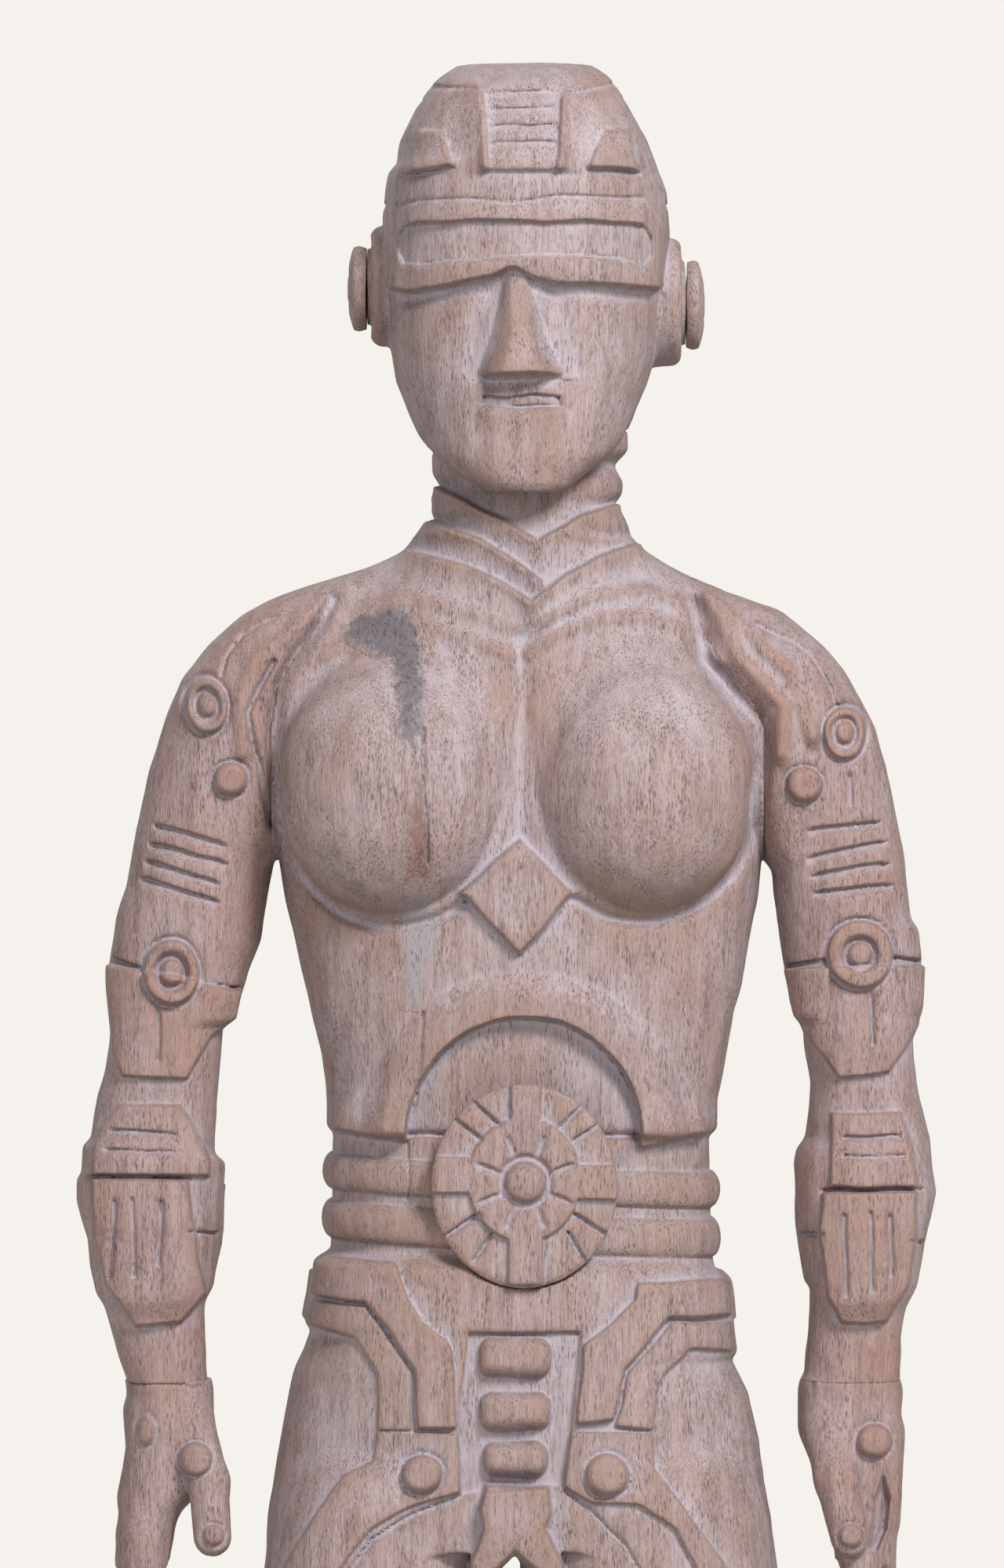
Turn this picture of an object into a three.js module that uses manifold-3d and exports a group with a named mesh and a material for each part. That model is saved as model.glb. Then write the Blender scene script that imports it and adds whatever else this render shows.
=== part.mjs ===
// A carved hardwood figure of a helmeted robot, standing on a plinth and built up from blocks of timber.
// Millimetres, +Z up. The figure faces -Y, its own right side is -X, and the origin is under the plinth.
import * as THREE from "three";
import { mergeVertices } from "three/addons/utils/BufferGeometryUtils.js";
import Module from "manifold-3d";

const wasm = await Module();
wasm.setup();

// ---------------------------------------------------------------- driving dimensions
const GAP = 0.4; // glue-line clearance left between neighbouring pieces
const COLLAR_PROUD = 2.5; // how far the collar's chevrons stand out of the neck and chest
const PLATE_PROUD = 1.5; // the same for the plates on the hips
const PLINTH = { width: 172, depth: 126, height: 24, centreY: -4, bevel: 3 };
const NECK_TOP = 606; // top of the neck column, where the head sits on it
const NECK_X = 2; // the neck stands a little to the figure's left
const WRIST = 364; // height of the cuff edge, where each hand is pegged on
const SIDES = 28; // facets round a loft

const DOWEL = {
  neck: { diameter: 16, length: 44 },
  shoulder: { diameter: 12, length: 44 },
  wrist: { diameter: 8, length: 24 },
  ear: { diameter: 6, length: 16 },
  medallion: { diameter: 8, length: 14 },
  foot: { diameter: 12, length: 40 },
};

// Lofts are lists of stations: [height, centre x, half width, reach to the front, reach to the back].
const TORSO = [
  [311, 0, 54, 27, 29],
  [322, 0, 64, 37, 39],
  [338, 0, 64, 40, 42],
  [366, 0, 58, 40, 42],
  [377, 0, 53, 38, 40],
  [379, 0, 55, 40, 41],
  [394, 0, 53, 39, 38],
  [397, 0, 49, 33, 34],
  [400, 0, 49, 33, 34],
  [404, 0, 51, 35, 36],
  [411, 0, 48, 32, 33],
  [417, 0, 50, 34, 35],
  [423, 0, 47, 31, 32],
  [427, 0, 47, 31, 32],
  [430, 0, 50, 36, 33],
  [447, 0, 52, 36, 33],
  [466, 0, 57, 36, 34],
  [486, 0, 60, 37, 36],
  [505, 0, 64, 37, 38],
  [525, 0, 67, 36, 39],
  [545, 0, 68, 34, 38],
  [558, 0, 62, 31, 36],
  [566, 0, 50, 28, 33],
  [572, 0, 37, 25, 29],
  [577, 0, 28, 23, 26],
];
const NECK = [
  [570, NECK_X, 27, 24, 26],
  [576, NECK_X, 25, 23, 25],
  [581, NECK_X, 27, 25, 27],
  [587, NECK_X, 24.5, 23, 25],
  [592, NECK_X, 26, 24, 26],
  [597, NECK_X, 24, 22, 24],
  [602, NECK_X, 26, 24, 26],
  [NECK_TOP, NECK_X, 25, 23, 25],
];
const LEG = [
  [24, 34, 21, 50, 26],
  [36, 34, 22, 52, 27],
  [46, 34, 21.5, 42, 26],
  [56, 34, 20, 27, 24],
  [74, 34, 19, 22, 23],
  [78, 34, 16.5, 19, 21],
  [96, 34, 18, 20, 23],
  [140, 34, 23, 25, 29],
  [170, 34, 23, 26, 28],
  [188, 34, 23.5, 30, 26],
  [206, 34, 23.5, 30, 26],
  [222, 34, 24, 27, 27],
  [262, 34.5, 28, 31, 32],
  [296, 35, 31, 36, 38],
  [316, 35, 31.5, 37, 39],
  [340, 33, 31, 37, 39],
];
const HEAD = [
  [590, 1, 10, 38, -22],
  [596, 1, 18, 41, -6],
  [604, 1, 25, 42, 14],
  [613, 1, 29.5, 43, 30],
  [624, 1, 33, 43.5, 39],
  [640, 1, 35.5, 44, 44],
  [658, 1.5, 36.5, 45, 47],
  [672, 1.5, 34, 44, 46],
  [682, 1.5, 30.5, 40, 42],
  [690, 1, 26, 35, 37],
  [696, 1, 21, 29, 31],
  [700, 1, 17, 26, 27],
];
// The arm's stations count x outwards from the middle of the figure.
const ARM = [
  [WRIST + GAP / 2, 90.5, 12, 12, 12],
  [374, 92, 12, 12, 12],
  [384, 93.5, 12.5, 14, 13],
  [387, 93.5, 15, 16, 15],
  [404, 94, 18, 18, 18],
  [416, 94.5, 18.5, 18, 18],
  [421, 94, 16.5, 17, 17],
  [432, 93, 15, 15, 16],
  [443, 91.5, 14.5, 15, 16],
  [455, 89.5, 15.5, 17, 17],
  [459, 88.5, 16.5, 18, 18],
  [476, 86, 19, 18, 18],
  [492, 82, 18, 18, 18],
  [505, 80.5, 17, 19, 19],
  [520, 79, 16.5, 20, 21],
  [534, 74.5, 16, 21, 22],
  [546, 69, 15.5, 20, 21],
  [556, 61, 13, 17, 19],
  [564, 54, 8, 12, 14],
];
const HAND = [
  [326, 95, 9, 13, 11],
  [334, 93.5, 11, 14, 12],
  [346, 90.5, 13.5, 14, 12],
  [357, 90, 14, 13, 12],
  [WRIST - GAP / 2, 90, 13, 13, 13],
];
// The figure's left arm hangs a little closer to the body than its right one.
const LEFT_ARM_INSET = { at: 520, by: 2.5, perMillimetre: 0.028 };

// The seam between each arm and the chest, seen from the front, from the shoulder to the armpit: [x, height].
const SEAM_RIGHT = [[-53, 600], [-53, 566], [-51, 557], [-56, 549], [-61, 541], [-63, 530], [-63, 488]];
const SEAM_LEFT = [[38, 600], [43, 566], [46, 554], [52, 545], [58, 538], [61, 530], [61, 488]];
const ARMPIT = 488; // the arm hangs free of the trunk below this height

// The filled drying check in the chest, seen from the front: clockwise, down its inner edge and up the outer one.
const FILLER = [[-27, 562], [-23, 550], [-25, 520], [-21, 500], [-20, 476], [-24, 458],
  [-31, 459], [-32, 478], [-30, 500], [-32, 520], [-34, 546], [-46, 552], [-46, 562]];
const FILLER_BACK = -22; // how deep the check is cut, as a place on y

// ---------------------------------------------------------------- shaping helpers
const geometryToSolid = (geometry) => {
  const bare = geometry.clone();
  bare.deleteAttribute("normal");
  bare.deleteAttribute("uv");
  const merged = mergeVertices(bare, 1e-4);
  return new wasm.Manifold(
    new wasm.Mesh({
      numProp: 3,
      vertProperties: new Float32Array(merged.attributes.position.array),
      triVerts: new Uint32Array(merged.index.array),
    }),
  );
};

const solidToGeometry = (solid) => {
  const mesh = solid.getMesh();
  const places = new Float32Array(mesh.numVert * 3);
  for (let i = 0; i < mesh.numVert; i++) {
    places.set(mesh.vertProperties.subarray(i * mesh.numProp, i * mesh.numProp + 3), i * 3);
  }
  const geometry = new THREE.BufferGeometry();
  geometry.setAttribute("position", new THREE.BufferAttribute(places, 3));
  geometry.setIndex(new THREE.BufferAttribute(new Uint32Array(mesh.triVerts), 1));
  geometry.computeVertexNormals();
  return geometry;
};

// A closed body through elliptical stations, squared off a little as a carver leaves it.
// side is 1 for the figure's left, and -1 to mirror the stations.
function loft(stations, { side = 1, grow = 0, square = 2.4 } = {}) {
  const geometry = new THREE.CylinderGeometry(1, 1, 1, SIDES, stations.length - 1);
  geometry.rotateX(Math.PI / 2);
  const place = geometry.attributes.position;
  for (let i = 0; i < place.count; i++) {
    const ring = Math.round((place.getZ(i) + 0.5) * (stations.length - 1));
    const [height, x, half, front, back] = stations[ring];
    const reach = Math.min(1, Math.hypot(place.getX(i), place.getY(i)));
    const turn = Math.atan2(place.getY(i), place.getX(i));
    const across = Math.sign(Math.cos(turn)) * Math.abs(Math.cos(turn)) ** (2 / square);
    const along = Math.sign(Math.sin(turn)) * Math.abs(Math.sin(turn)) ** (2 / square);
    place.setXYZ(
      i,
      side * x + reach * (half + grow) * across,
      (back - front) / 2 + reach * ((back + front) / 2 + grow) * along,
      height,
    );
  }
  return geometryToSolid(geometry);
}

function ellipsoid(x, y, z, radiusX, radiusY, radiusZ) {
  const geometry = new THREE.SphereGeometry(1, 20, 14);
  geometry.scale(radiusX, radiusY, radiusZ);
  geometry.translate(x, y, z);
  return geometryToSolid(geometry);
}

function capsule(from, to, radius) {
  const start = new THREE.Vector3(...from);
  const end = new THREE.Vector3(...to);
  const span = end.clone().sub(start);
  const geometry = new THREE.CapsuleGeometry(radius, span.length(), 4, 12);
  const turn = new THREE.Quaternion().setFromUnitVectors(new THREE.Vector3(0, 1, 0), span.normalize());
  geometry.applyQuaternion(turn);
  const middle = start.add(end).multiplyScalar(0.5);
  geometry.translate(middle.x, middle.y, middle.z);
  return geometryToSolid(geometry);
}

// A round bar of a given length centred at a point, along x, y or z.
function bar(axis, [x, y, z], radius, length, sides = 20) {
  const geometry = new THREE.CylinderGeometry(radius, radius, length, sides);
  if (axis === "x") geometry.rotateZ(Math.PI / 2);
  if (axis === "z") geometry.rotateX(Math.PI / 2);
  geometry.translate(x, y, z);
  return geometryToSolid(geometry);
}

// A prism of a front-view outline, [x, height] points, running from y = front to y = back.
function prism(outline, front, back) {
  const shape = new THREE.Shape(outline.map(([x, z]) => new THREE.Vector2(x, z)));
  const geometry = new THREE.ExtrudeGeometry(shape, { depth: back - front, bevelEnabled: false });
  geometry.rotateX(Math.PI / 2);
  geometry.translate(0, back, 0);
  return geometryToSolid(geometry);
}

// A dowel, and the slightly larger hole it sits in.
const dowel = (axis, at, size) => bar(axis, at, size.diameter / 2, size.length);
const dowelHole = (axis, at, size) => bar(axis, at, size.diameter / 2 + GAP, size.length + 2 * GAP);

// ---------------------------------------------------------------- where the pieces meet
const FAR = 160; // beyond the figure's outside
const seamSide = (seam, side, shift) => {
  const line = seam.map(([x, z]) => [x + side * shift, z]);
  return [...line, [side * FAR, ARMPIT], [side * FAR, 600]];
};
const armStations = (side) =>
  ARM.map(([height, x, ...rest]) => [height, side < 0 ? x : insetLeft(height, x), ...rest]);
const handStations = (side) =>
  HAND.map(([height, x, ...rest]) => [height, side < 0 ? x : insetLeft(height, x), ...rest]);
function insetLeft(height, x) {
  const below = Math.max(0, LEFT_ARM_INSET.at - height);
  return x - LEFT_ARM_INSET.by - below * LEFT_ARM_INSET.perMillimetre;
}

const NECK_DOWEL_AT = [NECK_X, 0, NECK_TOP - 2];
const shoulderDowelAt = (side) => [side * 62, 2, 536];
const wristDowelAt = (side) => [side * (side < 0 ? 90.5 : insetLeft(WRIST, 90.5)), 0, WRIST];
const footDowelAt = (side) => [side * 34, -2, PLINTH.height + 4];
const EAR_Y = 2;
// x is each ear drum's outer face, and drum its radius
const EAR = { right: { x: -39, z: 643, drum: 15.7 }, left: { x: 41.8, z: 639, drum: 16.8 } };
const earPegAt = (side, ear) => [ear.x - side * 4.5, EAR_Y, ear.z];
const MEDALLION = { x: 1, z: 415, radius: 23.3, tall: 1.1, back: -35, thick: 6 };
const MEDALLION_PEG_AT = [MEDALLION.x, MEDALLION.back + 3, MEDALLION.z];

// ---------------------------------------------------------------- the trunk: neck, chest, hips, legs and boots
function makeTrunkBlank() {
  let trunk = loft(TORSO).add(loft(NECK));
  trunk = trunk.add(loft(LEG, { side: 1 })).add(loft(LEG, { side: -1 }));
  // raised armour: each plate is the body grown by its thickness, inside the plate's outline
  const neckAndChest = loft(TORSO, { grow: COLLAR_PROUD }).add(loft(NECK, { grow: COLLAR_PROUD }));
  for (const drop of [0, 9, 18]) {
    const spread = drop / 6;
    const [left, right] = [28 + spread, -25 - spread];
    const chevron = [[right, 598], [4, 586], [left, 596], [left, 590], [4, 579], [right, 592]];
    trunk = trunk.add(neckAndChest.intersect(prism(chevron.map(([x, z]) => [x, z - drop]), -80, -12)));
  }
  const hips = loft(TORSO, { grow: PLATE_PROUD });
  for (const side of [-1, 1]) {
    const hipPlate = [[52, 396], [29, 394], [24, 382], [14, 374], [14, 353], [26, 353], [28, 368], [54, 386]];
    const flank = [[54, 384], [40, 382], [30, 366], [28, 353], [34, 346], [40, 360], [56, 370]];
    for (const outline of [hipPlate, flank]) {
      trunk = trunk.add(hips.intersect(prism(outline.map(([x, z]) => [side * x, z]), -80, -12)));
    }
  }
  // the domed chest
  trunk = trunk.add(ellipsoid(-31.5, -26, 515, 30, 27, 33)).add(ellipsoid(31, -26, 515, 29, 27, 33));
  // the diamond under it, and the pouch in front of the hips
  const diamond = [[-2, 501], [11.5, 487], [-2, 473], [-15.5, 487]];
  trunk = trunk.add(prism(diamond, -41, -20));
  const pouch = [[-9, 337], [7, 337], [8, 330], [11, 318], [4, 316], [-2, 320], [-8, 316], [-13, 318]];
  trunk = trunk.add(prism(pouch, -44, -20));
  for (const height of [370, 356, 344]) {
    const rung = [[-10, height - 5], [8, height - 5], [8, height + 5], [-10, height + 5]];
    trunk = trunk.add(prism(rung, -42, -20));
  }
  return trunk;
}

const trunkBlank = makeTrunkBlank();
const SEAT_RADIUS = MEDALLION.radius * MEDALLION.tall + 1;
const medallionSeat = bar("y", [MEDALLION.x, MEDALLION.back - 15, MEDALLION.z], SEAT_RADIUS, 30, 36);

// An arm takes the shoulder's outside from the trunk's blank, so the seam between them is one surface.
function makeArm(side) {
  const seam = side < 0 ? SEAM_RIGHT : SEAM_LEFT;
  const whole = loft(armStations(side), { side });
  const beyond = prism(seamSide(seam, side, GAP / 2), -70, 70);
  const [inner, outer, low, high] = [side * 62, side * FAR, WRIST, ARMPIT + 1];
  const below = prism([[inner, low], [outer, low], [outer, high], [inner, high]], -70, 70);
  const shoulder = trunkBlank.add(whole).intersect(beyond);
  return shoulder
    .add(whole.intersect(below))
    .subtract(dowelHole("x", shoulderDowelAt(side), DOWEL.shoulder))
    .subtract(dowelHole("z", wristDowelAt(side), DOWEL.wrist));
}

function makeTrunk() {
  let trunk = trunkBlank;
  for (const side of [-1, 1]) {
    const seam = side < 0 ? SEAM_RIGHT : SEAM_LEFT;
    trunk = trunk
      .subtract(prism(seamSide(seam, side, -GAP / 2), -80, 80))
      .subtract(dowelHole("x", shoulderDowelAt(side), DOWEL.shoulder))
      .subtract(dowelHole("z", footDowelAt(side), DOWEL.foot));
  }
  return trunk
    .subtract(medallionSeat)
    .subtract(dowelHole("y", MEDALLION_PEG_AT, DOWEL.medallion))
    .subtract(dowelHole("z", NECK_DOWEL_AT, DOWEL.neck))
    .subtract(prism(FILLER, -80, FILLER_BACK))
    .trimByPlane([0, 0, 1], PLINTH.height + GAP);
}

// A clockwise outline drawn in by a distance all round.
function inset(outline, distance) {
  return outline.map(([x, z], i) => {
    const before = outline.at(i - 1);
    const after = outline[(i + 1) % outline.length];
    const arriving = new THREE.Vector2(x - before[0], z - before[1]).normalize();
    const leaving = new THREE.Vector2(after[0] - x, after[1] - z).normalize();
    const share = distance / (1 + arriving.dot(leaving));
    return [x + share * (arriving.y + leaving.y), z - share * (arriving.x + leaving.x)];
  });
}

// The filler follows the chest's own surface.
const makeFiller = () => trunkBlank.intersect(prism(inset(FILLER, GAP), -80, FILLER_BACK - GAP));

// ---------------------------------------------------------------- the head: helmet, visor, nose and ear drums
function makeHead() {
  let head = loft(HEAD);
  const visor = [[-33, 659], [-34, 642], [-18, 643], [-2, 648], [14, 643], [35, 641], [36, 658]];
  head = head.add(loft(HEAD, { grow: 2.5 }).intersect(prism(visor, -80, -14)));
  const nose = [[-7, 648], [4, 648], [11, 621], [-11, 621]];
  head = head.add(loft(HEAD, { grow: 5 }).intersect(prism(nose, -80, -20)));
  for (const { x, z, drum } of [EAR.right, EAR.left]) {
    head = head.add(bar("x", [x / 2, EAR_Y, z], drum, Math.abs(x), 28));
  }
  return head
    .subtract(loft(NECK, { grow: COLLAR_PROUD + GAP }))
    .subtract(loft(NECK, { grow: COLLAR_PROUD + GAP }).translate([0, 0, GAP]))
    .subtract(dowelHole("z", NECK_DOWEL_AT, DOWEL.neck))
    .subtract(dowelHole("x", earPegAt(-1, EAR.right), DOWEL.ear))
    .subtract(dowelHole("x", earPegAt(1, EAR.left), DOWEL.ear));
}

// A turned cap disc on each ear drum: a lathe profile with a rounded rim.
function makeEarDisc(side, ear) {
  const [radius, thick] = [11, 4.6];
  const rim = [[radius, 0], [radius, thick - 2.5], [radius - 2, thick - 0.6], [radius - 5, thick]];
  const profile = [[0, 0], ...rim, [0, thick]].map(([r, h]) => new THREE.Vector2(r, h));
  const geometry = new THREE.LatheGeometry(profile, 28);
  geometry.rotateZ(-side * (Math.PI / 2));
  geometry.translate(ear.x + side * GAP, EAR_Y, ear.z);
  return geometryToSolid(geometry).subtract(dowelHole("x", earPegAt(side, ear), DOWEL.ear));
}

// ---------------------------------------------------------------- the hands
function makeHand(side) {
  const inset = (height, x) => (side < 0 ? x : insetLeft(height, x));
  const at = (x, y, z) => [side * inset(z, x), y, z];
  let hand = loft(handStations(side), { side });
  // thumb
  hand = hand.add(capsule(at(82, -9, 346), at(78, -11, 326), 5.2));
  // four fingers, from the first at the front to the little one behind
  const fingers = [
    { x: 93, y: -9.5, tip: 291, radius: 4.6 },
    { x: 95.5, y: -2.6, tip: 288, radius: 4.8 },
    { x: 97, y: 4.4, tip: 290, radius: 4.6 },
    { x: 97.5, y: 10.6, tip: 298, radius: 4.1 },
  ];
  for (const { x, y, tip, radius } of fingers) {
    hand = hand.add(capsule(at(x - 1, y * 0.85, 334), at(x - 2.5, y + 1.5, tip), radius));
  }
  return hand.subtract(dowelHole("z", wristDowelAt(side), DOWEL.wrist));
}

// ---------------------------------------------------------------- the belt medallion
function makeMedallion() {
  const { x, z, radius, tall, back, thick } = MEDALLION;
  const squash = (solid) => solid.translate([-x, 0, -z]).scale([1, 1, tall]).translate([x, 0, z]);
  const front = back - thick;
  const wheel = bar("y", [x, back - GAP - thick / 2 + 1, z], radius, thick - 2, 40);
  const hub = bar("y", [x, back - GAP - thick / 2, z], radius * 0.6, thick, 32);
  const cross = (w, h) => prism([[x - w, z - h], [x + w, z - h], [x + w, z + h], [x - w, z + h]], front, back - 1);
  const disc = wheel.add(hub).add(cross(4, radius)).add(cross(radius, 4.5));
  const round = disc.intersect(bar("y", [x, back, z], radius, 40, 40));
  return squash(round).subtract(dowelHole("y", MEDALLION_PEG_AT, DOWEL.medallion));
}

// ---------------------------------------------------------------- the plinth
function makePlinth() {
  const { width, depth, height, centreY, bevel } = PLINTH;
  const [halfWidth, halfDepth] = [width / 2 - bevel, depth / 2 - bevel];
  const top = new THREE.Shape([
    new THREE.Vector2(-halfWidth, -halfDepth),
    new THREE.Vector2(halfWidth, -halfDepth),
    new THREE.Vector2(halfWidth, halfDepth),
    new THREE.Vector2(-halfWidth, halfDepth),
  ]);
  const geometry = new THREE.ExtrudeGeometry(top, {
    depth: height - 2 * bevel,
    bevelThickness: bevel,
    bevelSize: bevel,
    bevelSegments: 1,
  });
  geometry.translate(0, centreY, bevel);
  return geometryToSolid(geometry)
    .subtract(dowelHole("z", footDowelAt(-1), DOWEL.foot))
    .subtract(dowelHole("z", footDowelAt(1), DOWEL.foot));
}

// ---------------------------------------------------------------- the assembly
const wood = (color, roughness = 0.8) => new THREE.MeshStandardMaterial({ color, roughness, metalness: 0 });
const WOOD = wood(0x9d7c6c);
const ARM_WOOD = wood(0x97735f);
const DOWEL_WOOD = wood(0xc2a178);
const PUTTY = wood(0x8f9294, 0.95);

const figure = new THREE.Group();
const addPiece = (name, solid, material) => {
  const mesh = new THREE.Mesh(solidToGeometry(solid), material);
  mesh.name = name;
  figure.add(mesh);
};

addPiece("trunk", makeTrunk(), WOOD);
addPiece("head", makeHead(), WOOD);
addPiece("neck_dowel", dowel("z", NECK_DOWEL_AT, DOWEL.neck), DOWEL_WOOD);
addPiece("chest_check_filler", makeFiller(), PUTTY);
addPiece("belt_medallion", makeMedallion(), WOOD);
addPiece("medallion_peg", dowel("y", MEDALLION_PEG_AT, DOWEL.medallion), DOWEL_WOOD);
addPiece("plinth", makePlinth(), WOOD);
for (const [name, side] of [["right", -1], ["left", 1]]) {
  addPiece(`${name}_arm`, makeArm(side), ARM_WOOD);
  addPiece(`${name}_shoulder_dowel`, dowel("x", shoulderDowelAt(side), DOWEL.shoulder), DOWEL_WOOD);
  addPiece(`${name}_hand`, makeHand(side), ARM_WOOD);
  addPiece(`${name}_wrist_dowel`, dowel("z", wristDowelAt(side), DOWEL.wrist), DOWEL_WOOD);
  addPiece(`${name}_ear_disc`, makeEarDisc(side, EAR[name]), WOOD);
  addPiece(`${name}_ear_peg`, dowel("x", earPegAt(side, EAR[name]), DOWEL.ear), DOWEL_WOOD);
  addPiece(`${name}_foot_dowel`, dowel("z", footDowelAt(side), DOWEL.foot), DOWEL_WOOD);
}

export default figure;
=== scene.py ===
"""The looks of a carved, limed wooden robot figure on a plinth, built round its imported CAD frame.

Every wooden piece is sculpted as a distance field in millimetres (rounded lofts, plus relief drawn as a front
elevation), turned into a mesh, and given a procedural wood with lime in its hollows.
The figure faces -Y, its own right side is -X, and z = 0 is under the plinth.
"""

import math

import bpy
import numpy as np
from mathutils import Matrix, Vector


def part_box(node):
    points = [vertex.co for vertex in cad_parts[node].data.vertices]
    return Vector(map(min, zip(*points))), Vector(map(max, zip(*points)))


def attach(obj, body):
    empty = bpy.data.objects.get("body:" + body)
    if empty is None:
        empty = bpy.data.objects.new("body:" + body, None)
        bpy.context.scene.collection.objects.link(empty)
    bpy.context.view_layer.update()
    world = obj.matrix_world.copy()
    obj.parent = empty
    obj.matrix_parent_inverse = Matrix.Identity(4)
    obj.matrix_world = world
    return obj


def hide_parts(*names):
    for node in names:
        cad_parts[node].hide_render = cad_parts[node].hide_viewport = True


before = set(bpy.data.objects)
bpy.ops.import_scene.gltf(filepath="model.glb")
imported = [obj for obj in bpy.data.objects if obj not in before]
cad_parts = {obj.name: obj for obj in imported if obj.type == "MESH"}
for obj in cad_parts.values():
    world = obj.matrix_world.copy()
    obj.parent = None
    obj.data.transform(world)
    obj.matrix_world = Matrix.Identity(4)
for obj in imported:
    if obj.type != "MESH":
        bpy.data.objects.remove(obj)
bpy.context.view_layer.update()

MM = 0.001
DETAIL = 0.65  # spacing of the sculpted surface on most pieces, in mm
TRUNK_DETAIL, EAR_DETAIL, PLINTH_DETAIL = DETAIL * 1.15, DETAIL * 0.8, 1.4  # and on the others
EYE = (-4.8, -2400.0, 516.0)  # the viewpoint that the front carving is drawn from, in mm
JOIN = -0.3  # each glued face runs this far past its joint, so that no line shows between two

# ------------------------------------------------------------------ drawing relief on an elevation


def ramp(value):
    """0 below 0, 1 above 1, smooth between."""
    t = np.clip(value, 0, 1)
    return t * t * (3 - 2 * t)


def fade(points, x, z, width):
    """1 beside a line, falling to 0 over twice the width past each of its ends."""
    keep = np.ones(x.shape, np.float32)
    for (x0, z0), (x1, z1) in ((points[0], points[1]), (points[-1], points[-2])):
        length = math.hypot(x1 - x0, z1 - z0)
        beyond = ((x0 - x) * (x1 - x0) + (z0 - z) * (z1 - z0)) / length
        near = np.hypot(x - x0, z - z0) < np.hypot(x - x1, z - z1)
        keep *= np.where(near, 1 - ramp(beyond / (2 * width)), 1)
    return keep


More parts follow.
